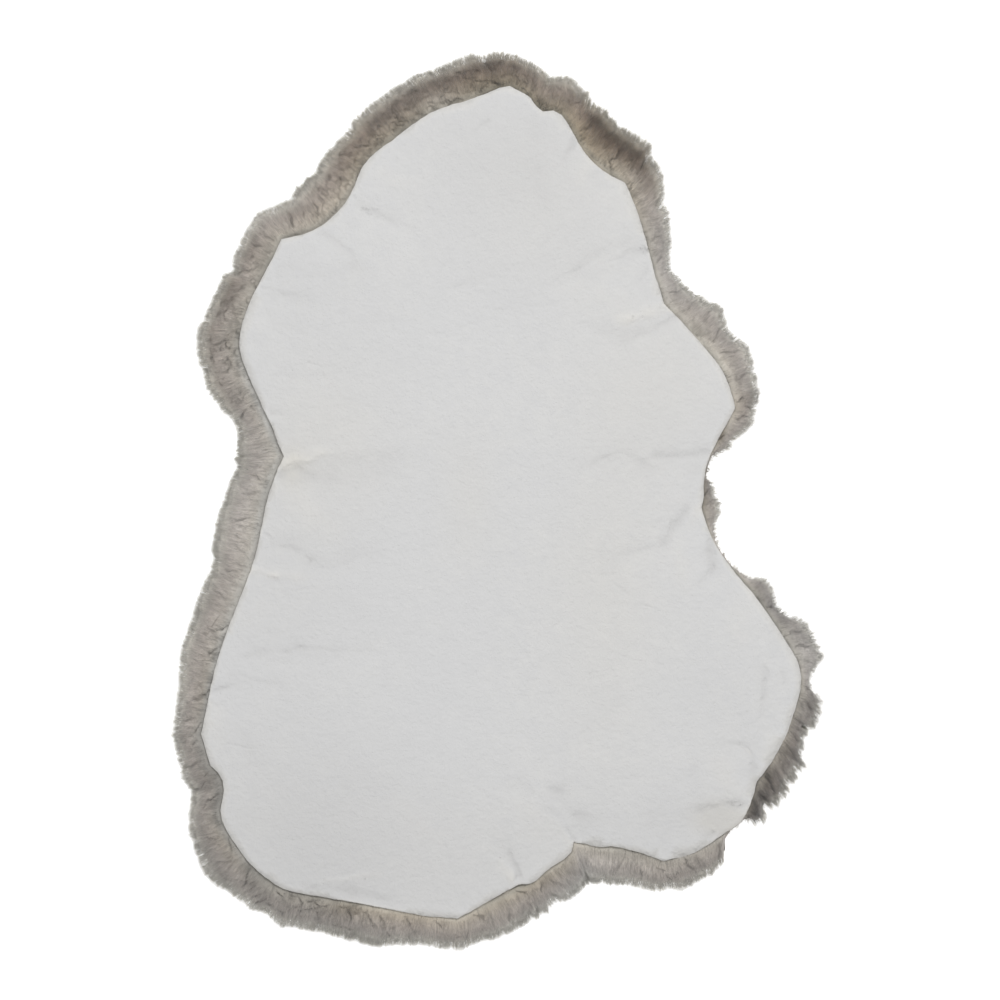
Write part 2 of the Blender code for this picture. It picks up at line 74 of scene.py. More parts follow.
# Fine creases, mm: two ends, bow, half width across, rise (or depth, -) at each end
CREASES = (
    # left shoulder, from the neck down
    (-34, 394, -10, 417, 1, 1.2, -0.15, -0.30), (-46, 233, -18, 238, 2, 2.0, -0.25, -0.15),
    (-38, 284, -2, 295, 2, 1.5, -0.20, -0.10), (-146, 319, -120, 308, 2, 3.0, -0.60, -0.40),
    (-120, 308, -93, 299, -2, 2.5, -0.40, -0.15), (-190, 290, -172, 280, 2, 3.0, -0.45, -0.55),
    (-172, 280, -156, 262, 2, 3.0, -0.55, -0.20), (-258, 234, -235, 226, 2, 1.8, -0.65, -0.45),
    (-235, 226, -215, 223, 1, 2.2, -0.30, -0.10), (-194, 226, -117, 217, -2, 1.3, -0.15, -0.10),
    (-233, 140, -208, 151, 2, 1.5, -0.25, -0.45), (-208, 151, -158, 149, -3, 1.5, -0.45, -0.15),
    (-240, 258, -215, 250, 2, 3.0, -0.25, -0.10), (-117, 357, -84, 357, 2, 1.3, -0.12, -0.12),
    # left notch and flank
    (-231, 51, -215, 52, 1, 2.2, -0.50, -0.20), (-231, 40, -207, 44, 1, 3.2, 0.95, 0.85),
    (-207, 44, -187, 56, -2, 3.2, 0.85, 0.15), (-238, 30, -220, 32, 1, 3.2, -1.00, -0.60),
    (-220, 32, -202, 24, 2, 3.5, -0.60, -0.15), (-248, 94, -238, 95, 0, 2.4, -0.70, -0.25),
    (-229, 99, -216, 102, 0, 1.6, -0.25, -0.10), (-229, 73, -199, 76, 1, 1.3, -0.30, -0.15),
    (-243, -8, -215, -6, 1, 1.4, -0.15, -0.15), (-256, -37, -246, -50, 2, 2.0, -0.60, -0.40),
    (-246, -50, -211, -63, 3, 2.2, -0.30, -0.45), (-211, -63, -193, -75, 2, 1.6, -0.45, -0.35),
    (-193, -75, -167, -70, -2, 1.5, -0.35, -0.25), (-167, -70, -139, -61, 1, 1.6, -0.25, -0.10),
    (-268, -77, -243, -82, 1, 2.6, 0.85, 0.60), (-243, -82, -226, -85, 1, 3.0, 0.60, 0.10),
    (-270, -88, -240, -92, 1, 3.0, -0.35, -0.15), (-224, -100, -199, -98, 1, 1.4, -0.20, -0.15),
    (-252, -146, -240, -146, 0, 1.4, -0.30, -0.20), (-274, -171, -232, -168, 3, 2.6, -0.25, -0.40),
    (-232, -168, -216, -162, 0, 1.6, -0.45, -0.45), (-216, -162, -184, -166, 1, 1.4, -0.40, -0.30),
    (-184, -166, -132, -166, -1, 1.3, -0.30, -0.10), (-312, -212, -292, -204, 1, 2.2, -0.95, -0.45),
    (-285, -193, -265, -199, 1, 1.6, -0.40, -0.40), (-265, -199, -249, -203, 1, 1.5, -0.40, -0.15),
    (-302, -269, -277, -272, 1, 1.3, -0.25, -0.35), (-277, -272, -230, -272, -1, 1.2, -0.35, -0.15),
    (-270, -277, -265, -291, 1, 1.3, -0.20, -0.10), (-101, 14, -112, -19, 4, 2.6, -0.20, -0.15),
    # tail
    (-206, -423, -167, -416, 1, 1.6, 0.30, 0.40), (-167, -416, -128, -411, 1, 1.8, 0.40, 0.15),
    (-168, -428, -110, -442, -2, 5.0, -0.50, -0.60), (-123, -429, -104, -411, 1, 1.5, -0.30, -0.20),
    (4, -357, 14, -390, 2, 2.6, -0.25, -0.80), (14, -390, 24, -415, 1, 2.6, -0.80, -1.25),
    (10, -395, 18, -418, 1, 2.6, 0.30, 0.95), (45, -308, 70, -321, -3, 3.0, -0.20, -0.30),
    (70, -321, 86, -346, -3, 3.0, -0.35, -0.35), (86, -346, 122, -352, 2, 2.5, -0.30, -0.10),
    (59, -343, 78, -365, 2, 3.0, -0.30, -0.50), (78, -365, 86, -374, 0, 2.2, -0.50, -0.70),
    (223, -341, 251, -335, -1, 3.6, -0.55, -0.80), (251, -335, 274, -336, 1, 3.4, -0.80, -0.60),
    (240, -264, 276, -275, 3, 2.2, -0.20, -0.60), (276, -275, 281, -291, 3, 2.8, -0.80, -1.10),
    (202, -270, 226, -272, 0, 1.3, -0.20, -0.15), (215, -303, 224, -291, 1, 3.5, -0.25, -0.20),
    # right hind flank
    (294, -184, 296, -201, 2, 2.0, -0.60, -0.60), (296, -201, 292, -219, 1, 2.0, -0.60, -0.65),
    (292, -219, 291, -236, 0, 1.8, -0.65, -0.35), (313, -190, 316, -201, 0, 1.6, -0.35, -0.30),
    (305, -231, 307, -250, -1, 1.8, -0.35, -0.30), (287, -244, 290, -263, 0, 1.6, -0.25, -0.20),
    (216, -178, 233, -209, 1, 1.3, -0.15, -0.20), (152, -176, 182, -181, 1, 1.3, -0.35, -0.35),
    (182, -181, 210, -178, 1, 1.2, -0.20, -0.10), (128, -226, 141, -229, 0, 1.4, -0.30, -0.15),
    # worn right flank
    (234, -45, 239, -60, -2, 2.8, -1.10, -1.20), (239, -60, 234, -79, -2, 2.6, -1.10, -0.60),
    (234, -79, 225, -92, -1, 2.4, -0.60, -0.20), (208, -11, 193, -27, 2, 3.2, -0.85, -1.05),
    (193, -27, 182, -50, 2, 2.6, -1.05, -0.40), (170, -52, 155, -57, 1, 2.8, -0.50, -0.35),
    (155, -57, 138, -61, 0, 2.0, -0.35, -0.10), (175, 46, 196, 49, 0, 3.6, -0.60, -0.75),
    (196, 49, 232, 51, -1, 3.4, -0.75, -0.60), (105, 38, 119, 47, 1, 2.2, -0.30, -0.35),
    (119, 47, 141, 49, 2, 2.2, -0.35, -0.25), (141, 49, 171, 33, 3, 3.0, -0.25, -0.60),
    (160, -116, 182, -122, 1, 1.4, -0.30, -0.35), (111, -46, 117, -66, 1, 2.0, -0.20, -0.20),
    (117, -66, 118, -85, 1, 1.8, -0.20, -0.10), (125, -90, 149, -104, -1, 1.6, -0.20, -0.15),
    (158, -27, 180, -33, 2, 1.3, -0.20, -0.20), (100, -19, 111, -38, 1, 1.6, 0.20, 0.15),
    # right shoulder and neck
    (140, 173, 158, 179, -1, 3.6, -0.75, -0.85), (158, 179, 172, 187, -1, 3.4, -0.85, -0.75),
    (172, 187, 194, 200, 0, 3.2, -0.75, -0.90), (144, 196, 180, 204, 2, 4.5, 0.35, 0.35),
    (164, 276, 146, 272, 1, 3.2, -1.60, -0.70), (144, 270, 114, 259, 1, 1.6, -0.45, -0.30),
    (111, 267, 92, 256, 2, 1.6, -0.25, -0.45), (92, 256, 66, 243, 1, 1.5, -0.45, -0.15),
    (84, 396, 82, 386, 1, 2.2, -1.10, -0.95), (82, 386, 71, 369, -1, 1.8, -0.85, -0.25),
    (166, 253, 158, 242, 1, 2.2, -0.35, -0.40), (63, 289, 54, 283, 0, 1.6, -0.35, -0.30),
    (46, 363, 43, 344, 1, 2.2, -0.20, -0.15), (48, 269, -18, 242, 3, 2.2, -0.15, -0.10),
    (102, 228, -2, 209, 4, 2.6, -0.15, -0.10), (110, 360, 104, 352, 0, 2.5, -0.50, -0.20),
)

# Soft folds, mm: two ends, bow, half width across, rise (or depth, -) at each end
FOLDS = (
    # neck
    (-150, 325, -93, 299, 0, 6, -0.7, -0.4), (-125, 355, -90, 345, 0, 10, 0.4, 0.3),
    (-90, 325, -80, 318, 0, 8, -0.4, -0.3), (-60, 415, -45, 408, 0, 8, -0.3, -0.2),
    (-35, 398, -10, 415, 1, 3, -0.4, -0.5), (42, 415, 48, 400, 0, 7, -0.5, -0.4),
    (40, 360, 50, 330, 1, 12, -0.5, -0.4), (86, 398, 76, 376, 0, 4, -1.2, -0.6),
    (98, 372, 92, 356, 0, 8, 0.8, 0.5), (115, 362, 122, 356, 0, 4, -0.5, -0.5),
    (130, 330, 140, 320, 0, 8, 0.4, 0.4),
    # left shoulder
    (-192, 292, -158, 262, 1, 7, -0.9, -0.5), (-158, 254, -140, 254, 0, 6, -0.5, -0.3),
    (-232, 250, -212, 248, 0, 9, -0.5, -0.5), (-245, 228, -212, 222, 0, 7, -0.6, -0.6),
    (-235, 190, -215, 195, 0, 9, -0.3, -0.3), (-140, 199, -110, 201, 0, 5, -0.4, -0.3),
    (-60, 228, -10, 246, 2, 4, -0.3, -0.25), (-248, 98, -225, 95, 0, 6, -0.7, -0.3),
    # left flank
    (-235, 43, -190, 52, 1, 5, 1.0, 0.6), (-240, 28, -190, 24, 0, 7, -1.3, -0.7),
    (-190, 26, -120, 40, -2, 16, -0.7, -0.5), (-215, -8, -190, -30, 0, 16, 0.6, 0.5),
    (-235, -50, -200, -66, 2, 7, -0.8, -0.8), (-200, -66, -140, -62, -2, 10, -0.9, -0.5),
    (-268, -78, -215, -86, 1, 5, 0.9, 0.6), (-170, -110, -150, -120, 0, 10, -0.4, -0.3),
    (-280, -130, -265, -125, 0, 14, 0.5, 0.3), (-275, -172, -215, -164, 1, 5, -0.6, -0.6),
    (-215, -164, -140, -166, 0, 4, -0.6, -0.4), (-290, -198, -235, -204, 1, 5, -0.6, -0.4),
    (-312, -208, -290, -206, 0, 4, -1.2, -0.8), (-310, -235, -308, -265, 0, 9, 0.9, 0.5),
    (-275, -262, -265, -285, 0, 9, -0.5, -0.4),
    # tail
    (-205, -428, -165, -433, 0, 7, -1.4, -1.2), (-165, -433, -115, -438, 0, 6, -0.9, -0.5),
    (-190, -421, -130, -411, 1, 4, 0.6, 0.5), (-150, -310, -125, -315, 0, 12, -0.4, -0.4),
    (-105, -340, -90, -355, 0, 14, 0.4, 0.3), (8, -385, 22, -412, 1, 5, -0.6, -1.0),
    (5, -400, 16, -417, 0, 5, 0.5, 1.0), (25, -312, 70, -322, -3, 9, -0.5, -0.5),
    (70, -322, 95, -350, -3, 9, -0.8, -0.6), (95, -350, 125, -355, 0, 6, -0.5, -0.3),
    (40, -345, 60, -365, 0, 16, 0.6, 0.5), (70, -358, 80, -378, 0, 4, 0.4, 0.6),
    # right hind
    (225, -340, 265, -336, -1, 7, -1.0, -1.0), (232, -372, 246, -364, 0, 6, -0.8, -0.8),
    (250, -300, 262, -320, 0, 12, 0.8, 0.6), (283, -295, 281, -312, 0, 5, -1.5, -1.3),
    (245, -270, 280, -268, 0, 6, -0.6, -0.4), (218, -298, 220, -310, 0, 9, -0.5, -0.4),
    (170, -350, 172, -365, 0, 9, -0.5, -0.4), (185, -370, 180, -388, 0, 6, -0.4, -0.6),
    (293, -190, 293, -235, 1, 4.5, -0.8, -0.8), (315, -190, 316, -200, 0, 4, -0.5, -0.4),
    (308, -160, 300, -130, 0, 6, -0.6, -0.4), (300, -262, 296, -282, 0, 6, 0.6, 0.5),
    (120, -240, 130, -225, 0, 12, -0.3, -0.3),
    # right flank
    (235, -45, 238, -75, -2, 6, -1.3, -1.0), (238, -75, 222, -95, -1, 5, -0.7, -0.4),
    (268, -85, 262, -75, 0, 4, -0.5, -0.5), (220, -12, 216, -22, 0, 6, 1.0, 0.6),
    (205, -12, 185, -45, 2, 6, -1.2, -0.9), (185, -50, 135, -62, 1, 7, -0.6, -0.5),
    (200, -50, 206, -90, -1, 8, 0.7, 0.5), (178, 46, 230, 50, 0, 7, -1.0, -1.0),
    (212, 35, 222, 30, 0, 6, -0.7, -0.5), (110, 42, 140, 50, 1, 6, -0.7, -0.6),
    (125, 30, 160, 28, 0, 8, -0.5, -0.6), (150, 44, 175, 32, 1, 6, -0.7, -0.7),
    (270, -110, 265, -145, 0, 12, 0.6, 0.5), (128, -80, 140, -96, 0, 8, -0.4, -0.3),
    (115, -60, 118, -80, 0, 6, -0.4, -0.3),
    # right shoulder
    (164, 276, 146, 272, 0, 5, -1.5, -0.8), (140, 176, 195, 199, 0, 6, -1.1, -1.1),
    (140, 200, 190, 212, 0, 7, 1.0, 0.9), (115, 185, 135, 178, 0, 10, -0.4, -0.5),
    (100, 268, 140, 284, 0, 5, -0.5, -0.5), (140, 284, 158, 282, 0, 6, -0.6, -0.8),
    (84, 253, 110, 268, 1, 4, -0.6, -0.5), (66, 243, 84, 252, 0, 3.5, -0.3, -0.5),
    (130, 215, 105, 225, 0, 16, 0.5, 0.4), (165, 255, 158, 242, 0, 4, -0.6, -0.4),
    (10, 210, 90, 245, 3, 4, -0.25, -0.35), (35, 120, 42, 150, 0, 10, -0.3, -0.3),
)

# Small dark marks, mm: centre, radius, depth
MARKS = (
    (-179, -15, 1.0, -0.30), (-154, -8, 1.3, -0.25), (-58, 76, 1.1, -0.20), (-182, -348, 1.2, -0.40),
    (61, -63, 1.4, -0.25), (152, -83, 1.0, -0.30), (-157, 333, 2.2, -1.10), (-197, 291, 2.2, -0.80),
    (-39, -446, 3.0, -0.70), (237, -367, 2.6, -0.90), (168, -358, 2.6, -0.25), (156, -248, 1.2, -0.25),
    (154, -264, 1.2, -0.25), (175, -219, 1.0, -0.20), (44, 411, 1.3, -0.25), (-112, 396, 2.4, -0.50),
)

# Patches on the hide, mm: centre, half sizes, how much yellower, and how much darker as painted shade
# where the light falls off
PATCHES = (
    (-190, 60, 75, 85, 0.35, 0.0), (-32, 5, 30, 70, 0.30, 0.0), (120, -110, 65, 170, 0.35, 0.0),
    (175, 130, 80, 85, 0.35, 0.0), (60, 330, 110, 95, 0.25, 0.0), (246, -350, 26, 17, 1.6, 0.6),
    (-226, 36, 16, 22, 0.9, 0.1), (-215, -360, 120, 100, 0.0, 0.75), (-40, -400, 150, 70, 0.1, 0.35),
    (-235, -110, 80, 130, 0.0, 0.30), (10, 385, 120, 70, 0.0, 0.55), (205, -360, 90, 60, 0.0, 0.30),
    (250, -200, 60, 80, 0.0, 0.25), (-190, 230, 80, 90, 0.0, 0.25), (60, 280, 150, 70, 0.0, 0.15),
)

# How far the knife's line lies outside (+) or inside (-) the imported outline: distance along
# the cut from the tip of the neck, clockwise, and the offset, both mm
KNIFE_LINE = (
    (0, -1.5), (10, -1.5), (20, 0.5), (27, 1), (33, -1), (45, -1), (60, -0.5), (100, -1), (120, -2),
    (145, -3), (158, -1.5), (175, 2), (200, 3), (215, 2.5), (240, 1), (280, -1), (290, 0), (340, 0),
    (385, -2), (400, -2), (430, 1.5), (442, 2.5), (455, 2.5), (480, 1.5), (500, 0), (515, -1),
    (525, -1.5), (540, -0.5), (560, 2), (572, -0.5), (580, 0), (610, -0.5), (640, -1), (652, -2),
    (665, -2), (680, -0.5), (750, -1), (775, 1), (800, -0.5), (812, 0), (825, 1.5), (850, 4.5),
    (870, 4.5), (885, 3.5), (903, 1), (912, -1), (925, 1.5), (940, 1.5), (980, -1), (992, -0.5),
    (1005, 1.5), (1022, 5), (1035, 5), (1050, 2.5), (1065, 2), (1085, 1), (1100, -0.5), (1115, -2.5),
    (1130, 0.5), (1145, 0), (1155, 1.5), (1165, 1), (1180, 0.5), (1195, -1), (1205, -1), (1222, 2.5),
    (1230, 1), (1238, -4), (1260, -3), (1290, -1), (1305, 0), (1320, 0.5), (1350, 3), (1400, 1),
    (1440, -0.5), (1470, -1), (1500, 0), (1530, -1.5), (1560, 1.5), (1600, 1), (1612, -0.5),
    (1630, 0), (1660, 0), (1680, 1), (1750, 1), (1850, 1), (1900, 0.5), (1945, 0), (1960, -0.5),
    (1990, -2), (2000, -3), (2015, -3), (2030, -2), (2050, -1.5), (2070, -2.5), (2090, -1),
    (2120, 0), (2145, -1), (2170, 0.5), (2210, 1.5), (2225, 1.5), (2250, -1), (2270, -1.5),
    (2285, -0.5), (2300, 0), (2330, -0.5), (2350, -0.5), (2375, -1.5), (2390, 0), (2410, 1.5),
    (2440, 0.5), (2465, -1.5), (2500, 0), (2540, 0.5), (2560, -1.5), (2580, -3), (2590, -2.5),
    (2608, -1.5),
)


def edges_of(bm, chosen):
    """The edges of the chosen faces, in the order of the mesh, so that each run is the same."""
    return [e for e in bm.edges if any(chosen(f) for f in e.link_faces)]


def merged_copy(node):
    """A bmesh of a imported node, its loose triangles joined up."""
    bm = bmesh.new()
    bm.from_mesh(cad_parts[node].data)
    bmesh.ops.remove_doubles(bm, verts=bm.verts, dist=0.01 * MM)
    bm.normal_update()
    return bm


def placed(name, data):
    """Puts a thing into the scene."""
    thing = bpy.data.objects.new(name, data)
    bpy.context.scene.collection.objects.link(thing)
    return thing


def shown_piece(name, mesh, material):
    """A shown piece of the rug, at the origin, that moves with the rug's body."""
    mesh.shade_smooth()
    mesh.materials.append(material)
    piece = placed(name, mesh)
    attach(piece, "root")
    return piece


def mesh_from(bm, name):
    mesh = bpy.data.meshes.new(name)
    bm.to_mesh(mesh)
    bm.free()
    return mesh


def finished_piece(bm, name, material):
    bmesh.ops.triangulate(bm, faces=bm.faces)
    return shown_piece(name, mesh_from(bm, name), material)


def point_values(piece, name, values):
    """Gives every point of a piece a value that its material reads."""
    attribute = piece.data.attributes.new(name, "FLOAT", "POINT")
    attribute.data.foreach_set("value", np.asarray(values, np.float32))


def crease_place(xy, crease):
    """Where each point lies by a crease: share along it, distance beyond its ends, and across."""
    a, b = np.array(crease[0:2]) * MM, np.array(crease[2:4]) * MM
    along = b - a
    length = np.hypot(*along)
    across = np.array((-along[1], along[0])) / length
    share = (xy - a) @ along / length**2
    inside = np.clip(share, 0, 1)
    off = (xy - a) @ across - crease[4] * MM * 4 * inside * (1 - inside)
    return inside, (share - inside) * length, off


def bent_height(xy, lines, widening):
    """Rise in mm of a table's creases or folds at each point, as they stray and come and go."""
    height = np.zeros(len(xy))
    stray = np.array([noise.noise_vector(Vector((x, y, 0.0)) / FOLD_STRAY_LENGTH) for x, y in xy])
    uneven = 1 + FOLD_UNEVEN * stray[:, 2]
    xy = xy + stray[:, :2] * FOLD_STRAY * widening
    for line in lines:
        half_width, rise_a, rise_b = line[5:8]
        share, beyond, off = crease_place(xy, line)
        spread = (off**2 + (beyond * END_STRETCH)**2) / (half_width * widening * MM)**2
        height += (rise_a + (rise_b - rise_a) * share) * np.exp(-spread)
    return height * uneven


def crease_relief(xy):
    """Height that the folds, the fine creases and small marks add at each point."""
    height = (bent_height(xy, CREASES, 1.0) + FOLD_GAIN * bent_height(xy, FOLDS, 1.0)) * MM
    for x, y, radius, rise in MARKS:
        spread = ((xy - np.array((x, y)) * MM)**2).sum(axis=1) / (radius * MM)**2
        height += rise * MM * np.exp(-spread)
    return height


def hide_rim(bm):
    """The cut edge's lower corner, as points in order clockwise from above."""
    cut = [f for f in bm.faces if abs(f.normal.z) < 0.5]
    below = {e for f in bm.faces if f.normal.z < -0.5 for e in f.edges}
    links = {}
    for face in cut:
        for edge in face.edges:
            if edge in below:
                a, b = edge.verts
                links.setdefault(a, []).append(b)
                links.setdefault(b, []).append(a)
    start = max(links, key=lambda v: v.co.y)
    ring, before, here = [], None, start
    while here is not start or before is None:
        ring.append(here.co.copy())
        ways = [v for v in links[here] if v is not before]
        before, here = here, (max(ways, key=lambda v: v.co.x) if before is None else ways[0])
    return ring


def set_inputs(tree, node, inputs):
    """Sets inputs of a node, each to a number, a colour or what another node gives."""
    for name, value in inputs.items():
        if isinstance(value, bpy.types.NodeSocket):
            tree.links.new(value, node.inputs[name])
        else:
            node.inputs[name].default_value = value


def add_node(tree, kind, output, inputs=None, **settings):
    """Adds a node to a material and gives what comes out of it."""
    node = tree.nodes.new("ShaderNode" + kind)
    for name, value in settings.items():
        setattr(node, name, value)
    set_inputs(tree, node, inputs or {})
    return node.outputs[output]


def new_material(name):
    material = bpy.data.materials.new(name)
    material.use_nodes = True
    return material, material.node_tree, material.node_tree.nodes["Principled BSDF"]


def suede_material():
    """Tanned hide: a matt, fine nap over small pits, yellowed by its values, with painted shade and
    painted highlights from its values.
    """
    material, tree, shader = new_material("tanned_hide")
    place = add_node(tree, "TexCoord", "Object")

    def cloud(scale, detail, roughness=0.5):
        return add_node(tree, "TexNoise", "Fac", {
            "Vector": place, "Scale": scale, "Detail": detail, "Roughness": roughness})

    def wrinkles(turn, across):
        lay = add_node(tree, "Mapping", "Vector", {
            "Vector": place, "Rotation": (0, 0, math.radians(turn)),
            "Scale": (across * 0.22, across, across)})
        return add_node(tree, "TexNoise", "Fac", {
            "Vector": lay, "Scale": 1.0, "Detail": 3, "Distortion": 0.6})

    def mapped(value, low, high, to_low=0.0, to_high=1.0):
        return add_node(tree, "MapRange", "Result", {
            "Value": value, "From Min": low, "From Max": high, "To Min": to_low, "To Max": to_high})

    colour = (0.562, 0.562, 0.563, 1)
    chalk = add_node(tree, "Mix", 2, {
        0: mapped(cloud(9, 3), 0.35, 0.65), 6: (0.572, 0.572, 0.573, 1),
        7: (0.586, 0.584, 0.579, 1)}, data_type="RGBA")
    # Over the base: a finer mottle, the yellowing, painted shade, and a painted highlight along the cut
    # and on the ridges
    for factor, over in (
        (mapped(cloud(70, 4, 0.6), 0.3, 0.7), chalk),
        (mapped(add_node(tree, "Attribute", "Fac", attribute_name="warmth"), 0.0, 1.0, 0.0, 0.45),
         (0.572, 0.545, 0.48, 1)),
        (mapped(add_node(tree, "Attribute", "Fac", attribute_name="painted_shade"), 0.0, 2.0),
         (0.465, 0.461, 0.457, 1)),
        (mapped(add_node(tree, "Attribute", "Fac", attribute_name="edge"), 0.0, 1.8),
         (0.64, 0.62, 0.575, 1)),
    ):
        colour = add_node(tree, "Mix", 2, {0: factor, 6: colour, 7: over}, data_type="RGBA")

    # Nap, grain, pebbles, slanting and level wrinkles: pattern, strength, height in mm
    surface = {}
    for pattern, strength, height in (
        (cloud(900, 3, 0.6), 0.7, 0.5), (cloud(260, 5, 0.6), 0.85, 1.0),
        (cloud(120, 3, 0.55), 0.6, 2.0), (wrinkles(-16, 200), 0.09, 1.2),
        (wrinkles(4, 150), 0.08, 1.2),
    ):
        surface = {"Normal": add_node(tree, "Bump", "Normal", {
            "Height": pattern, "Strength": strength, "Distance": height * MM, **surface})}
    set_inputs(tree, shader, {
        "Base Color": colour, "Roughness": mapped(cloud(40, 3), 0.3, 0.7, 0.80, 0.92),
        "Specular IOR Level": 0.25, **surface})
    return material


def smoothed_round(values, spacing, length):
    """Evens out values along the closed rim over a length."""
    reach = int(3 * length / spacing)
    weights = np.exp(-0.5 * (np.arange(-reach, reach + 1) * spacing / length)**2)
    out = np.zeros_like(values)
    for k, weight in zip(range(-reach, reach + 1), weights):
        out += np.roll(values, k, axis=0) * weight
    return out / weights.sum()


bm = merged_copy("hide")
rim = np.array(hide_rim(bm))
rim_steps = np.hypot(*(np.roll(rim, -1, axis=0) - rim)[:, :2].T)
rim_along = np.concatenate(([0.0], np.cumsum(rim_steps)))
rim_length = rim_along[-1]


def around(values, s):
    """Values of the rim at any distance along it."""
    closed = np.concatenate((values, values[:1]))
    return np.interp(np.mod(s, rim_length), rim_along, closed)


RIM_MARK = 1 * MM                # spacing of the marks by which a place along the rim is found
marks = np.arange(0, rim_length, RIM_MARK)
mark_places = np.stack((around(rim[:, 0], marks), around(rim[:, 1], marks)), axis=1)
rim_tree = KDTree(len(marks))
for i, (x, y) in enumerate(mark_places):
    rim_tree.insert((x, y, 0.0), i)
rim_tree.balance()


def by_rim(xy):
    """Distance along the rim and away from it of each point."""
    found = [rim_tree.find((x, y, 0.0)) for x, y in xy]
    return np.array([i for _, i, _ in found]) * RIM_MARK, np.array([gap for _, _, gap in found])


shown = edges_of(bm, lambda face: face.normal.z > -0.5)
bmesh.ops.subdivide_edges(bm, edges=shown, cuts=HIDE_SPLITS, use_grid_fill=True)
bmesh.ops.triangulate(bm, faces=bm.faces)
bm.normal_update()
top = [v for v in bm.verts if all(f.normal.z > 0.5 for f in v.link_faces)]
folded = [v.co.z for v in top]
for _ in range(SMOOTH_PASSES):
    bmesh.ops.smooth_vert(bm, verts=top, factor=0.5, use_axis_z=True)
for vert, height in zip(top, folded):
    vert.co.z += (height - vert.co.z) * FOLD_SHARE
for _ in range(SETTLE_PASSES):
    bmesh.ops.smooth_vert(bm, verts=top, factor=0.5, use_axis_z=True)
for _ in range(CREASE_SPLITS):
    upper = edges_of(bm, lambda face: face.normal.z > 0.5)
    middles = np.array([((e.verts[0].co + e.verts[1].co) / 2).xy for e in upper])
    lengths = np.array([e.calc_length() for e in upper])
    close = np.zeros(len(upper), bool)
    for crease in CREASES:
        share, beyond, off = crease_place(middles, crease)
        near = CREASE_REACH * crease[5] * MM + 0.6 * lengths
        close |= (np.abs(off) < near) & (np.abs(beyond) < near)
    for x, y, radius, rise in MARKS:
        gap = np.hypot(middles[:, 0] - x * MM, middles[:, 1] - y * MM)
        close |= gap < MARK_REACH * radius * MM + 0.6 * lengths
    cut = [e for e, c, l in zip(upper, close, lengths) if c and l > CREASE_CELL]
    bmesh.ops.subdivide_edges(bm, edges=cut, cuts=1)
    bmesh.ops.triangulate(bm, faces=bm.faces)
bm.normal_update()
top = [v for v in bm.verts if all(f.normal.z > 0.5 for f in v.link_faces)]
relief = crease_relief(np.array([v.co.xy for v in top]))
for vert, rise in zip(top, relief):
    cockle = noise.noise(vert.co / COCKLE_LENGTH) * COCKLE_HEIGHT
    vert.co.z += max(float(rise), -CREASE_DEEPEST) + cockle
hide_s, hide_gap = by_rim([v.co.xy for v in bm.verts])
knife_s, knife_offset = np.array(KNIFE_LINE).T * MM
offset = np.interp(hide_s, knife_s, knife_offset) * np.clip(1 - hide_gap / EDGE_PULL, 0, 1)**2
tangent = (np.roll(mark_places, -1, axis=0) - np.roll(mark_places, 1, axis=0))
tangent = smoothed_round(tangent / np.hypot(*tangent.T)[:, None], RIM_MARK, 5 * MM)
tangent /= np.hypot(*tangent.T)[:, None]
cut_out = np.stack((-tangent[:, 1], tangent[:, 0]), axis=1)
for vert, s, gap, move in zip(bm.verts, hide_s, hide_gap, offset):
    if gap < CUT_BAND:
        move += KNIFE_WOBBLE * noise.noise(Vector((s / KNIFE_WOBBLE_LENGTH, 0.0, 3.0)))
    side = cut_out[round(s / RIM_MARK) % len(cut_out)]
    vert.co.x += side[0] * move
    vert.co.y += side[1] * move
hide = finished_piece(bm, "tanned_hide", suede_material())

hide_xy = np.array([v.co.xy for v in hide.data.vertices])
# The hide's yellowing, and painted shade from the darker patches and from the creases
warmth, painted_shade = np.zeros(len(hide_xy)), np.zeros(len(hide_xy))
for x, y, half_x, half_y, yellower, painted_dark in PATCHES:
    off = ((hide_xy - np.array((x, y)) * MM) / (np.array((half_x, half_y)) * MM))**2
    weight = np.exp(-off.sum(axis=1))
    warmth += yellower * weight
    painted_shade += painted_dark * weight
# Painted shade darkens the hollows, and a painted highlight makes the ridges pale
painted_light_and_shade = (CREASE_PAINTED_SHADING * bent_height(hide_xy, CREASES, PAINTED_SHADING_SPREAD)
        + FOLD_PAINTED_SHADING * bent_height(hide_xy, FOLDS, 1.0))
painted_shade += np.clip(-painted_light_and_shade, 0, None)
point_values(hide, "warmth", warmth)
point_values(hide, "painted_shade", painted_shade)
# Painted highlight along the cut edge, where it catches light
painted_edge_highlight = np.clip(1 - hide_gap / EDGE_BAND, 0, 1)**1.5
point_values(hide, "edge", painted_edge_highlight + np.clip(painted_light_and_shade, 0, None))
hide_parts("hide")


# ---------------------------------------------------------------- the wool's body
# The fleece as it lies pressed under the hide: a dense mat of curly locks, parted into
# lumps. It grows from the skin, so it follows the skin's underside closely. How far the
# wool reaches, how it parts and leans, and its tones are shared with the wool at the rim.

UNDERSIDE_SPLITS = 3
LUMP_SIZE = 19 * MM
CLEFT_DEPTH = 7 * MM
BODY_SHARE = 0.62                # how far the solid mat goes out of the loose wool's reach
BODY_SUNK = 2.5 * MM             # how far it lies below the loose wool's surface

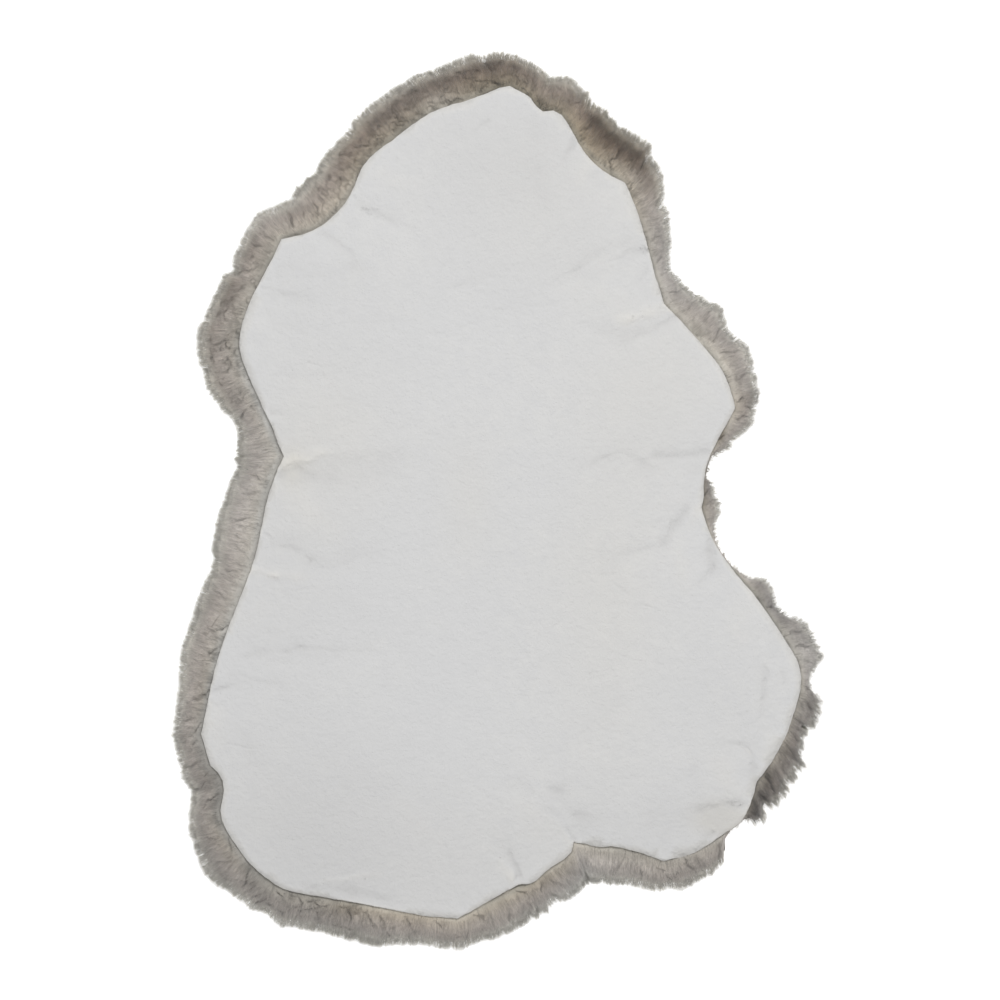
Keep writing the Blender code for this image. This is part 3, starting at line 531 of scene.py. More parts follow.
# How far the wool stands out from the cut edge: distance along the cut and reach, both mm
REACH = (
    (0, 34), (10, 33), (20, 34), (30, 34), (35, 32), (40, 38), (48, 45), (55, 42), (62, 38), (68, 35),
    (75, 38), (82, 34), (90, 38), (96, 44), (105, 42), (112, 45), (118, 44), (125, 46), (135, 49),
    (142, 51), (150, 50), (157, 54), (162, 49), (168, 42), (175, 42), (180, 45), (187, 43), (193, 40),
    (198, 39), (203, 35), (208, 32), (215, 33), (220, 35), (226, 32), (235, 30), (245, 27), (255, 24),
    (262, 21), (270, 19), (278, 17), (285, 21), (290, 23), (297, 25), (303, 25), (307, 30), (320, 31),
    (326, 33), (330, 36), (335, 34), (340, 34), (345, 38), (350, 40), (357, 42), (362, 38), (368, 37),
    (372, 33), (380, 31), (385, 31), (392, 34), (400, 36), (408, 34), (415, 34), (420, 31), (430, 33),
    (440, 32), (446, 30), (449, 26), (453, 24), (458, 26), (465, 28), (470, 26), (475, 24), (480, 20),
    (487, 17), (493, 15), (498, 14), (502, 10), (506, 5), (510, 2), (520, 0.6), (535, 1), (540, 7),
    (545, 10), (552, 12), (558, 15), (566, 20), (572, 18), (580, 17), (585, 12), (590, 9), (595, 6),
    (603, 4), (610, 1.5), (620, 0.6), (640, 0.6), (645, 1), (655, 3), (665, 7), (672, 14), (678, 19),
    (687, 20), (695, 18), (700, 15), (707, 12), (715, 13), (720, 17), (725, 20), (730, 25), (735, 28),
    (742, 27), (750, 29), (757, 26), (762, 28), (768, 29), (773, 27), (776, 22), (780, 17), (787, 12),
    (795, 11), (800, 13), (803, 20), (808, 27), (815, 27), (822, 30), (828, 29), (832, 27), (835, 17),
    (838, 25), (843, 23), (848, 27), (855, 30), (860, 35), (864, 40), (868, 38), (873, 34), (880, 35),
    (888, 32), (895, 33), (900, 34), (905, 36), (910, 31), (916, 32), (920, 26), (924, 21), (930, 26),
    (936, 27), (940, 24), (944, 19), (948, 11), (953, 6), (958, 2), (965, 0.6), (978, 0.6), (982, 1),
    (985, 5), (988, 15), (992, 27), (998, 28), (1005, 30), (1010, 33), (1020, 33), (1030, 37),
    (1040, 39), (1046, 38), (1050, 35), (1055, 33), (1058, 35), (1065, 38), (1075, 38), (1095, 38),
    (1110, 39), (1125, 38), (1135, 40), (1145, 42), (1155, 44), (1165, 42), (1175, 39), (1185, 38),
    (1195, 39), (1205, 38), (1213, 34), (1220, 34), (1228, 38), (1235, 34), (1240, 38), (1245, 33),
    (1252, 38), (1285, 38), (1295, 35), (1305, 34), (1312, 34), (1330, 35), (1355, 34), (1370, 37),
    (1380, 38), (1390, 41), (1400, 43), (1418, 42), (1425, 39), (1430, 42), (1440, 40), (1450, 39),
    (1460, 37), (1480, 38), (1488, 36), (1495, 39), (1500, 40), (1505, 37), (1515, 32), (1520, 34),
    (1527, 37), (1535, 36), (1545, 38), (1555, 40), (1562, 45), (1572, 47), (1582, 46), (1592, 43),
    (1602, 40), (1618, 37), (1625, 35), (1635, 35), (1655, 34), (1665, 37), (1672, 38), (1678, 34),
    (1684, 30), (1688, 34), (1695, 32), (1720, 32), (1740, 33), (1755, 34), (1770, 36), (1787, 40),
    (1800, 41), (1850, 42), (1880, 42), (1895, 40), (1905, 42), (1915, 46), (1930, 48), (1945, 48),
    (1960, 47), (1975, 44), (1990, 42), (2000, 41), (2015, 39), (2022, 43), (2030, 47), (2040, 45),
    (2050, 43), (2060, 38), (2070, 35), (2080, 33), (2090, 33), (2100, 37), (2107, 41), (2120, 44),
    (2132, 46), (2145, 44), (2165, 46), (2175, 47), (2182, 47), (2188, 42), (2215, 40), (2225, 39),
    (2232, 39), (2236, 33), (2240, 30), (2246, 36), (2252, 38), (2262, 37), (2275, 39), (2295, 38),
    (2325, 41), (2335, 45), (2345, 49), (2355, 46), (2365, 48), (2380, 44), (2395, 45), (2412, 43),
    (2420, 40), (2430, 38), (2440, 38), (2450, 43), (2475, 44), (2505, 44), (2535, 44), (2560, 45),
    (2570, 45), (2577, 43), (2583, 38), (2590, 39), (2598, 37), (2604, 34),
)


def shared_wool_colour():
    """Node group: the wool's colour from how far along a fibre it is, its tone and warmth."""
    group = bpy.data.node_groups.new("wool_colour", "ShaderNodeTree")
    for name, low, high, start in (("Along", 0, 1, 0.5), ("Tone", 0, 2, 1.0), ("Warmth", 0, 1, 0.5)):
        socket = group.interface.new_socket(name, in_out="INPUT", socket_type="NodeSocketFloat")
        socket.min_value, socket.max_value, socket.default_value = low, high, start
    group.interface.new_socket("Colour", in_out="OUTPUT", socket_type="NodeSocketColor")
    given, result = group.nodes.new("NodeGroupInput"), group.nodes.new("NodeGroupOutput")

    def along_fibre(*stops):
        """Colours from the root of a fibre (0) to its tip (1)."""
        ramp = group.nodes.new("ShaderNodeValToRGB")
        for position, _ in stops[1:-1]:
            ramp.color_ramp.elements.new(position)
        for element, (position, colour) in zip(ramp.color_ramp.elements, stops):
            element.position, element.color = position, (*colour, 1.0)
        set_inputs(group, ramp, {"Fac": given.outputs["Along"]})
        return ramp.outputs["Color"]

    cool = along_fibre((0.0, (0.43, 0.425, 0.405)), (0.4, (0.43, 0.42, 0.407)),
                       (0.7, (0.43, 0.42, 0.407)), (1.0, (0.485, 0.48, 0.445)))
    beige = along_fibre((0.0, (0.48, 0.405, 0.27)), (0.15, (0.50, 0.385, 0.235)),
                        (0.6, (0.50, 0.37, 0.27)), (1.0, (0.475, 0.42, 0.29)))
    warm = add_node(group, "Mix", 2, {0: given.outputs["Warmth"], 6: cool, 7: beige}, data_type="RGBA")
    toned = add_node(group, "VectorMath", "Vector", {0: warm, "Scale": given.outputs["Tone"]},
                     operation="SCALE")
    set_inputs(group, result, {"Colour": toned})
    return group


wool_colour = shared_wool_colour()


def wool_material(name, streaks):
    """Wool that takes its colour from the piece's own values; streaks add a bump of fibres."""
    material, tree, shader = new_material(name)
    colour = add_node(tree, "Group", "Colour", {
        value: add_node(tree, "Attribute", "Fac", attribute_name=value.lower())
        for value in ("Along", "Tone", "Warmth")}, node_tree=wool_colour)
    set_inputs(tree, shader, {
        "Base Color": colour, "Roughness": 0.95, "Specular IOR Level": 0.15,
        "Sheen Weight": 0.25, "Sheen Roughness": 0.6})
    if streaks:
        place = add_node(tree, "TexCoord", "Object")
        curls = add_node(tree, "TexNoise", "Fac", {
            "Vector": place, "Scale": 420, "Detail": 4, "Distortion": 1.2})
        bump = add_node(tree, "Bump", "Normal", {
            "Height": curls, "Strength": 0.8, "Distance": 1.5 * MM})
        set_inputs(tree, shader, {"Normal": bump})
    return material


reach_s, reach_far = np.array(REACH).T * MM


def wool_reach(s):
    return np.interp(np.mod(s, rim_length), np.append(reach_s, rim_length),
                     np.append(reach_far, reach_far[0]))


FAN_LENGTH = 30 * MM             # length over which the wool's directions and reach even out
FIELD_STEP = 1 * MM
FIELD_OUT = 60 * MM
LAYER_STEP = 31.7                # keeps the layers of the wool's unevenness apart
FULL_REACH = 24 * MM             # wool that reaches less than this is thinner too

# Lumps of the wool: height, length along the rim and out from it in mm, layer of unevenness
LUMPS = ((3.8, 21, 26, 1), (1.8, 10, 13, 2), (0.3, 3.5, 22, 3))

# How the wool runs together: width of a strand in mm, how tightly, layer of unevenness, share
# of the way out at which it starts. The second kind makes the pointed locks
STRANDS = ((17, 0.28, 5, 0.0), (6.5, 0.13, 6, 0.2), (2.8, 0.20, 7, 0.8))
POINTED_STRAND = 1

# What a cleft does to the wool beside it: how far aside its raised lip is, the lip's width,
# how far past its ends it fades, and how far its walls are pushed apart
CLEFT_LIP, LIP_WIDTH, CLEFT_FADE, CLEFT_PUSH = 3.5 * MM, 3 * MM, 2.5 * MM, 0.6 * MM
CLEFT_BOW = 1.3 * MM             # how far a cleft curves aside between its ends

# Where the wool is brushed aside: centre and reach of the place in mm, angle in degrees
BRUSHED = ((300, -290, 75, -20), (262, -350, 40, -25), (270, -95, 40, 6))

# Clefts between locks, mm: along the rim and out from it at both ends, half width, depth
CLEFTS = (
    (140, 33, 144, 20, 1.6, 3.5), (144, 20, 143, 12, 1.2, 3.0), (143, 12, 150, 4, 1.2, 4.5),
    (98, 22, 96, 8, 1.5, 2.5), (155, 32, 153, 20, 1.4, 2.5), (166, 42, 171, 20, 2.0, 4.0),
    (46, 11, 48, 4, 1.2, 2.0), (204, 34, 207, 24, 1.5, 2.0), (178, 12, 180, 3, 1.0, 1.5),
    (73, 30, 70, 16, 1.4, 1.8), (22, 26, 26, 10, 1.4, 1.5), (120, 40, 118, 24, 1.6, 2.0),
    (240, 16, 242, 6, 1.3, 1.4), (262, 15, 266, 4, 1.4, 1.6), (306, 24, 303, 8, 1.5, 2.0),
    (330, 30, 333, 12, 1.4, 1.6), (351, 34, 352, 22, 1.3, 2.0), (372, 30, 377, 10, 1.6, 1.8),
    (398, 26, 392, 8, 1.4, 1.5), (421, 28, 424, 10, 1.5, 1.6), (440, 33, 447, 27, 1.8, 3.0),
    (443, 15, 446, 6, 1.3, 3.0), (460, 18, 465, 9, 1.4, 3.2), (452, 26, 450, 14, 1.5, 2.4),
    (485, 6, 491, 1, 1.6, 3.0), (548, 8, 556, 1, 1.6, 2.5), (562, 14, 566, 5, 1.3, 1.6),
    (705, 12, 702, 3, 2.4, 2.0), (742, 22, 737, 8, 1.3, 1.2), (758, 22, 753, 6, 1.4, 1.4),
    (776, 22, 771, 8, 1.5, 1.2), (817, 22, 812, 8, 1.4, 1.4), (834, 28, 832, 6, 1.6, 2.8),
    (849, 24, 846, 8, 1.4, 1.6), (864, 34, 861, 12, 1.8, 2.4), (882, 30, 879, 10, 1.4, 1.6),
    (905, 30, 902, 6, 2.2, 4.5), (920, 28, 920, 8, 1.8, 4.0), (934, 22, 932, 5, 2.0, 2.8),
    (893, 28, 890, 12, 1.4, 2.0), (996, 26, 992, 8, 1.4, 1.8), (1027, 26, 1033, 12, 1.4, 2.6),
    (1033, 12, 1034, 5, 1.2, 2.0), (1056, 13, 1064, 12, 1.6, 2.8), (1051, 30, 1055, 18, 1.6, 2.4),
    (1080, 31, 1082, 15, 1.5, 2.5), (1110, 30, 1104, 14, 1.5, 1.6), (1140, 30, 1146, 12, 1.6, 1.6),
    (1172, 30, 1168, 12, 1.5, 1.6), (1200, 27, 1207, 10, 1.4, 3.2), (1221, 17, 1217, 7, 1.3, 2.4),
    (1213, 34, 1215, 22, 1.5, 2.2), (1237, 32, 1240, 18, 1.6, 2.8), (1238, 9, 1245, 1, 1.5, 3.2),
    (1265, 30, 1262, 16, 1.5, 1.6), (1289, 12, 1297, 5, 1.4, 2.6), (1310, 30, 1306, 14, 1.5, 1.7),
    (1335, 14, 1341, 6, 1.4, 2.2), (1368, 18, 1372, 7, 1.1, 2.4), (1395, 21, 1402, 9, 1.2, 3.0),
    (1408, 24, 1415, 9, 1.2, 2.6), (1388, 34, 1392, 24, 1.5, 1.6), (1432, 21, 1437, 7, 1.8, 4.5),
    (1455, 26, 1453, 12, 1.4, 2.2), (1458, 7, 1468, 11, 1.3, 3.6), (1468, 11, 1486, 19, 1.4, 4.2),
    (1468, 11, 1474, 6, 1.2, 3.4), (1497, 20, 1501, 30, 1.5, 3.0), (1487, 13, 1491, 4, 1.2, 2.6),
    (1522, 18, 1527, 33, 1.5, 3.4), (1529, 18, 1532, 29, 1.3, 2.6), (1546, 24, 1553, 6, 2.0, 5.0),
    (1508, 9, 1516, 5, 1.4, 2.4), (1540, 30, 1538, 16, 1.3, 2.4), (1580, 9, 1592, 4, 1.2, 2.2),
    (1577, 32, 1572, 16, 1.5, 1.6), (1602, 30, 1598, 14, 1.5, 1.8), (1632, 23, 1640, 17, 1.8, 4.0),
    (1640, 17, 1644, 7, 1.6, 4.5), (1655, 29, 1662, 18, 1.6, 3.2), (1663, 24, 1671, 11, 1.6, 4.2),
    (1684, 28, 1688, 10, 1.5, 2.6), (1699, 20, 1709, 9, 1.6, 3.2), (1719, 9, 1728, 4, 1.3, 2.4),
    (1748, 26, 1752, 15, 1.6, 4.0), (1752, 15, 1758, 6, 1.5, 4.8), (1758, 6, 1765, 2, 1.3, 3.6),
    (1730, 26, 1733, 12, 1.4, 1.6), (1785, 34, 1788, 24, 1.5, 2.2), (1803, 13, 1811, 5, 1.3, 3.2),
    (1822, 23, 1828, 16, 1.3, 3.2), (1828, 16, 1832, 8, 1.3, 4.2), (1832, 8, 1837, 3, 1.2, 3.4),
    (1830, 19, 1843, 16, 1.3, 2.4), (1868, 30, 1864, 14, 1.5, 1.6), (1896, 28, 1898, 16, 1.5, 2.8),
    (1925, 30, 1921, 12, 1.6, 1.6), (1955, 32, 1960, 14, 1.6, 1.6), (1985, 26, 1988, 12, 1.5, 1.6),
    (2003, 11, 2008, 20, 1.6, 3.0), (2008, 20, 2014, 33, 1.8, 3.6), (2060, 24, 2064, 10, 1.5, 1.6),
    (2091, 30, 2097, 17, 1.8, 3.0), (2107, 22, 2113, 11, 1.4, 2.2), (2140, 24, 2146, 13, 1.4, 1.8),
    (2168, 30, 2172, 16, 1.5, 1.8), (2190, 19, 2195, 26, 1.2, 2.4), (2195, 26, 2203, 21, 1.2, 2.4),
    (2221, 23, 2226, 14, 1.7, 3.0), (2236, 32, 2245, 19, 1.8, 3.4), (2245, 19, 2250, 11, 1.5, 2.6),
    (2270, 28, 2273, 14, 1.5, 2.0), (2284, 22, 2285, 8, 1.5, 2.4), (2313, 11, 2316, 30, 2.2, 3.6),
    (2329, 18, 2335, 29, 1.5, 2.6), (2344, 11, 2348, 23, 1.7, 3.0), (2371, 30, 2368, 14, 1.5, 1.8),
    (2395, 19, 2397, 9, 1.3, 2.2), (2402, 23, 2412, 12, 1.6, 4.2), (2430, 23, 2441, 11, 1.6, 3.2),
    (2416, 34, 2419, 24, 1.5, 2.0), (2451, 16, 2461, 9, 1.5, 3.0), (2474, 23, 2482, 15, 1.6, 3.8),
    (2482, 15, 2488, 11, 1.5, 3.6), (2477, 11, 2483, 4, 1.3, 2.6), (2508, 20, 2520, 30, 1.8, 3.0),
    (2538, 17, 2549, 12, 1.4, 2.6), (2555, 32, 2566, 20, 1.8, 3.0), (2571, 16, 2588, 8, 1.6, 3.2),
    (2590, 7, 2598, 1, 1.3, 3.6), (2586, 34, 2589, 20, 1.7, 3.0),
)

# Tints of the wool, mm: place along the rim and out from it, half sizes, lighter (+), warmer (+). They
# are partly the wool's own colour and partly painted light and shade: the narrow rows at the cut edge
# paint the shadow under the hide's edge where darker, and painted light over it where lighter.
TINTS = (
    # from the neck round the right shoulder
    (25, 16, 70, 40, -0.34, 0.27), (10, 30, 30, 16, -0.06, 0.07), (100, 30, 28, 16, -0.42, 0.45),
    (134, 34, 26, 16, -0.66, 0.6), (122, 46, 34, 9, -0.30, 0.1), (158, 34, 12, 16, -0.48, 0.35),
    (92, 27, 10, 6, -0.16, 0.07),
    (110, 8, 50, 14, -0.14, 0.27), (185, 30, 18, 16, -0.26, 0.2), (172, 30, 6, 12, -0.18, 0.1),
    (40, 3, 10, 5, -0.16, 0.05), (58, 6, 14, 5, -0.06, 0.0), (750, 1, 30, 3, 0.20, 0.0),
    (340, 27, 30, 6, -0.10, 0.0), (385, 22, 20, 6, -0.10, 0.0), (441, 5, 10, 4, 0.14, 0.0),
    (190, 4, 40, 8, -0.02, 0.07), (255, 12, 30, 22, -0.06, -0.07), (300, 10, 30, 26, -0.02, -0.07),
    (380, 1, 90, 6, 0.30, 0.0), (400, 18, 70, 30, 0.02, -0.01), (442, 27, 7, 9, -0.42, 0.05),
    (450, 12, 14, 10, -0.14, 0.1), (487, 2, 8, 4, -0.45, 0.2),
    # right notch and hind flank
    (535, 2, 22, 8, -0.40, 0.03), (560, 3, 14, 6, -0.25, 0.07), (700, 9, 26, 14, -0.30, -0.07),
    (745, 16, 40, 24, -0.10, -0.08), (820, 14, 22, 18, -0.30, -0.03), (862, 24, 20, 18, -0.44, 0.0),
    (905, 16, 18, 20, -0.58, 0.12), (938, 10, 16, 12, -0.62, 0.05), (862, 14, 20, 8, -0.12, 0.1),
    (890, 8, 50, 12, -0.14, 0.0),
    (775, 12, 30, 16, 0.08, -0.08),
    # tail
    (1010, 14, 30, 26, -0.10, 0.0), (1020, 1, 40, 5, 0.15, -0.07), (1060, 18, 40, 16, 0.06, 0.0),
    (1110, 16, 44, 12, 0.16, -0.03), (1150, 20, 40, 14, 0.12, -0.04), (1150, 1, 50, 4, 0.32, 0.0),
    (1010, 0, 20, 4, 0.18, 0.0), (1100, 6, 22, 6, -0.14, 0.0), (1585, 1, 22, 3, 0.25, -0.05),
    (1150, 44, 40, 12, 0.20, -0.07), (1190, 34, 70, 14, 0.0, -0.13), (1210, 8, 30, 8, -0.12, 0.07),
    (1262, 18, 60, 10, 0.06, 0.03), (1260, 4, 70, 8, -0.03, 0.13), (1340, 1, 50, 5, 0.42, -0.03),
    (1405, 1, 25, 4, 0.25, 0.0),
    (1380, 8, 60, 10, -0.02, 0.17), (1400, 22, 50, 9, 0.08, 0.0), (1400, 36, 60, 12, -0.06, -0.03),
    (1440, 8, 20, 10, -0.22, 0.12), (1490, 20, 70, 26, -0.08, -0.03), (1500, 6, 40, 8, -0.14, 0.0),
    (1545, 10, 22, 14, -0.16, -0.03), (1555, 18, 14, 10, 0.06, 0.0),
    # left flank
    (1585, 38, 34, 12, -0.22, -0.03), (1600, 3, 60, 6, -0.18, -0.13), (1590, 12, 30, 8, -0.04, 0.07),
    (1650, 5, 30, 8, -0.20, -0.07), (1665, 20, 14, 12, -0.14, 0.0), (1700, 6, 30, 8, -0.18, -0.1),
    (1615, 23, 22, 6, -0.14, 0.0), (1657, 23, 18, 6, -0.12, 0.0), (1765, 7, 40, 8, -0.18, 0.05),
    (1710, 28, 30, 8, -0.20, 0.0), (1760, 2, 60, 4, -0.04, -0.17), (1790, 20, 60, 10, 0.10, 0.0),
    (1840, 2, 80, 8, 0.14, -0.13), (1850, 18, 60, 10, 0.08, 0.0), (1870, 34, 50, 10, -0.12, 0.03),
    (1935, 18, 44, 14, 0.32, 0.0), (1960, 2, 60, 6, 0.06, -0.1), (2000, 14, 50, 14, 0.16, 0.0),
    (1975, 6, 30, 8, -0.14, 0.0), (1975, 22, 110, 18, 0.0, -0.07), (2060, 1, 110, 5, -0.04, -0.12),
    (2040, 12, 30, 10, 0.12, -0.03), (2090, 10, 26, 18, 0.10, 0.0), (2010, 24, 6, 14, -0.12, 0.03),
    (2080, 0, 30, 5, 0.12, -0.07), (2130, 36, 50, 12, -0.10, 0.1), (2135, 3, 60, 6, 0.02, -0.1),
    (2180, 34, 24, 12, -0.14, 0.07), (2205, 12, 24, 8, 0.06, 0.0), (2220, 30, 22, 13, -0.34, 0.2),
    (2175, 4, 22, 9, -0.16, 0.05), (2255, 3, 22, 8, -0.20, 0.0),
    # left shoulder, from the notch to the neck
    (2262, 24, 20, 14, -0.22, 0.12), (2335, 22, 16, 12, -0.14, 0.05), (2410, 20, 22, 10, -0.12, 0.05),
    (2456, 24, 24, 10, -0.14, 0.0), (2498, 18, 24, 18, -0.20, 0.1), (2490, 1, 30, 4, -0.03, 0.0),
    (2542, 35, 24, 10, -0.16, 0.07), (2576, 15, 20, 14, 0.08, 0.0), (2290, 8, 26, 10, 0.08, 0.0),
    (2298, 22, 14, 16, -0.02, 0.03),
    (2330, 1, 40, 4, -0.26, 0.0), (2318, 26, 9, 12, -0.16, 0.1), (2360, 12, 44, 12, 0.14, 0.1),
    (2370, 34, 36, 14, -0.10, 0.13), (2440, 22, 44, 26, -0.18, 0.3), (2455, 30, 44, 14, -0.14, 0.07),
    (2440, 2, 40, 6, -0.10, 0.0), (2483, 8, 24, 8, -0.10, 0.07), (2530, 28, 50, 13, -0.34, 0.23),
    (2532, 11, 16, 6, 0.10, -0.07), (2560, 18, 26, 16, -0.20, 0.2), (2595, 14, 26, 26, -0.24, 0.17),
    (2590, 32, 26, 12, -0.14, 0.1), (870, 22, 50, 10, 0.08, 0.0), (1060, 8, 60, 8, -0.06, 0.0),
    (380, 12, 95, 9, -0.03, 0), (1400, 5, 110, 6, -0.03, 0), (1900, 8, 220, 8, -0.03, 0),
)

BASE_TONE, BASE_WARMTH = 0.96, 0.24

# What the tone gains from the cut edge (0) out to the tips (1): share of the way, gain. The gain at the
# tips is painted light, for the steep tips get little light from above.
TONE_OUT = (
    (0, 0), (0.45, -0.01), (0.65, -0.05), (0.75, -0.03), (0.85, 0.18), (0.93, 0.46), (1.03, 0.60),
)
TIPS_FROM, TIPS_OVER = 0.72, 0.24  # share of the way out at which the tips turn cooler and are painted paler, as light through them

# Where the locks are long and pointed, mm: place along the rim, half length, how much
POINTED = (
    (95, 22, 0.25), (150, 25, 0.4), (185, 18, 0.25), (745, 30, 0.3), (815, 18, 0.6), (866, 16, 0.8),
    (905, 26, 1.1), (938, 14, 1.1), (1000, 18, 0.3), (2030, 20, 0.3), (2345, 20, 0.3),
)

# Where small curls lie on top of the wool, mm: place along the rim, half length, how much
CURLY = (
    (20, 50, 0.5), (1410, 60, 0.25), (1475, 30, 0.5), (2175, 55, 0.7), (2400, 40, 0.5),
    (2480, 80, 1.0),
)

# Where the tips lean along the rim, mm: place, half length, how far the tips lie over
LEANS = (
    (75, 35, -10), (140, 40, -11), (190, 25, -9), (255, 35, -5), (320, 30, 3), (440, 20, -4),
    (745, 45, 8), (820, 18, 8), (866, 18, 4), (910, 18, -3), (946, 14, -7), (1000, 20, 3),
    (1040, 20, -4), (1235, 25, 5), (1385, 30, 4), (1665, 20, -5), (1785, 30, 3), (2250, 30, -4),
    (2340, 25, 4), (2420, 30, -4), (2550, 40, -4),
)

rim_tangent = (np.roll(rim, -1, axis=0) - np.roll(rim, 1, axis=0))[:, :2]
rim_tangent /= np.hypot(*rim_tangent.T)[:, None]
outward = smoothed_round(np.stack((-rim_tangent[:, 1], rim_tangent[:, 0]), axis=1),
                         rim_length / len(rim), FAN_LENGTH)
outward /= np.hypot(*outward.T)[:, None]
turn = np.zeros(len(rim))
for x, y, size, degrees in BRUSHED:
    off = (rim[:, :2] - np.array((x, y)) * MM) / (size * MM)
    turn += math.radians(degrees) * np.exp(-(off**2).sum(axis=1))
outward = np.stack((outward[:, 0] * np.cos(turn) - outward[:, 1] * np.sin(turn),
                    outward[:, 0] * np.sin(turn) + outward[:, 1] * np.cos(turn)), axis=1)


def rim_noise(s, u, length_s, length_u, layer):
    """Unevenness over the rim's wool, drawn out differently along and across it."""
    angle = 2 * math.pi * s / rim_length
    radius = rim_length / (2 * math.pi * length_s)
    shift = LAYER_STEP * layer
    return np.array([noise.noise(Vector((radius * math.cos(a) + shift, radius * math.sin(a), v)))
                     for a, v in zip(angle, u / length_u)])


# The wool laid out flat, as a grid of places along the rim and out from it
field_s = np.linspace(0, rim_length, round(rim_length / FIELD_STEP), endpoint=False)
field_u = np.arange(0, FIELD_OUT, FIELD_STEP)
grid_s, grid_u = (g.ravel() for g in np.meshgrid(field_s, field_u, indexing="ij"))
field_shape = (len(field_s), len(field_u))
grid_reach = wool_reach(grid_s)
out_share = np.clip(grid_u / grid_reach, 0, 1.2)
fullness = np.clip(grid_reach / FULL_REACH, 0, 1)

lump = sum(height * rim_noise(grid_s, grid_u, along * MM, out * MM, layer)
           for height, along, out, layer in LUMPS) * MM
tone = BASE_TONE + 0.18 * rim_noise(grid_s, grid_u, 12 * MM, 11 * MM, 8)
warmth = np.full(len(grid_s), BASE_WARMTH)
comb, pointed = np.zeros(len(grid_s)), np.zeros(len(grid_s))


def gap_along(s, centre):
    """Signed distance along the rim from a place, the short way round."""
    return (s - centre + rim_length / 2) % rim_length - rim_length / 2


def near_place(s, place, half):
    """1 at a place along the rim, falling off over its half length; both are in mm."""
    return np.exp(-(gap_along(s, place * MM) / (half * MM))**2)


def cleft_extent(cleft):
    """How far out a cleft begins and ends, its half width in mm and its depth in mm."""
    return min(cleft[1], cleft[3]) * MM, max(cleft[1], cleft[3]) * MM, cleft[4], cleft[5]


def cleft_centre(cleft, share):
    """Place along the rim of a cleft's bottom, from its inner end (0) to its outer end (1)."""
    (s0, u0, s1, u1), inside = cleft[:4], np.clip(share, 0, 1)
    inner, outer = (s0, s1) if u0 < u1 else (s1, s0)
    side = 1 if outer > inner else -1
    bow = CLEFT_BOW * (4 * inside * (1 - inside) - 0.8 * np.sin(2 * np.pi * inside))
    return (inner + (outer - inner) * share) * MM + side * bow, side


for cleft in CLEFTS:
    near, far, half_width, depth = cleft_extent(cleft)
    share = np.clip((grid_u - near) / (far - near + 1e-9), 0, 1)
    centre, side = cleft_centre(cleft, share)
    beyond = grid_u - np.clip(grid_u, near, far)
    off = gap_along(grid_s, centre)
    there = np.exp(-(beyond / CLEFT_FADE)**2) * (0.55 + 0.45 * np.sin(np.pi * (0.15 + 0.7 * share)))
    line = np.exp(-(off / (1.1 * half_width * MM))**2) * there
    over = np.exp(-((off - side * CLEFT_LIP) / LIP_WIDTH)**2) * there
    lump += depth * MM * (0.25 * over - 0.55 * line)
    comb += CLEFT_PUSH * np.sign(off) * np.exp(-(off / LIP_WIDTH)**2) * there * (depth / 3)
    # Painted shade along the bottom of a cleft, and painted light on its raised lip
    tone += depth * (0.010 * over - 0.028 * line)
for s, u, half_s, half_u, lighter, warmer in TINTS:
    off = (gap_along(grid_s, s * MM) / (half_s * MM))**2 + ((grid_u - u * MM) / (half_u * MM))**2
    tone += lighter * np.exp(-off)
    warmth += warmer * np.exp(-off)
for s, half_s, lean in LEANS:
    comb += lean * MM * near_place(grid_s, s, half_s) * np.clip(out_share, 0, 1)**2
for s, half_s, amount in POINTED:
    pointed += amount * near_place(grid_s, s, half_s)
pointed_round = pointed[::len(field_u)]

# Curls and locks: every strand of one lock bends alike
curl = rim_noise(grid_s, grid_u, 20 * MM, 26 * MM, 4)
waves = grid_u / (13 * MM) + 1.8 * curl + grid_s / (70 * MM)
comb += (0.8 + 1.2 * curl) * MM * np.sin(2 * np.pi * waves) \
    * np.clip(grid_u / (8 * MM), 0, 1) * np.clip(1.3 - out_share, 0.2, 1)
for strand, (width, hold, layer, first) in enumerate(STRANDS):
    width *= MM
    phase = grid_s / width + 0.9 * rim_noise(grid_s, grid_u * 0, 3.2 * width, 60 * MM, layer)
    strength = np.clip((out_share - first) / (1 - first), 0, 1) * hold
    strength *= np.clip(0.75 + 1.2 * rim_noise(grid_s, grid_u, 5 * width, 50 * MM, layer + 10), 0.15, 1)
    strength = np.minimum(strength * (0.6 + 2.2 * pointed), 0.92)
    comb -= width / (2 * np.pi) * strength * np.sin(2 * np.pi * phase)
    lump += 0.06 * width * strength * np.cos(2 * np.pi * phase)
    tone += (0.05 - 0.28 * pointed * out_share) * strength * np.cos(2 * np.pi * phase)
    if strand == POINTED_STRAND:
        spikes = pointed * np.cos(2 * np.pi * phase)
evened_reach = smoothed_round(wool_reach(field_s), FIELD_STEP, FAN_LENGTH).repeat(len(field_u))
lump += 0.16 * (grid_reach - evened_reach)
edge_fade = np.clip(grid_u / (6 * MM), 0, 1)
lump *= edge_fade * fullness

fields = {name: values.reshape(field_shape) for name, values in
          (("lump", lump), ("comb", comb), ("tone", tone), ("warmth", warmth), ("spikes", spikes))}


def field_at(name, s, u):
    """Value of one of the wool's fields between its grid points."""
    values = fields[name]
    a = np.mod(s, rim_length) / rim_length * field_shape[0]
    b = np.clip(u / FIELD_STEP, 0, field_shape[1] - 1.001)
    i, j = a.astype(int) % field_shape[0], b.astype(int)
    p, q, k = a - a.astype(int), b - j, (i + 1) % field_shape[0]
    return ((values[i, j] * (1 - p) + values[k, j] * p) * (1 - q)
            + (values[i, j + 1] * (1 - p) + values[k, j + 1] * p) * q)


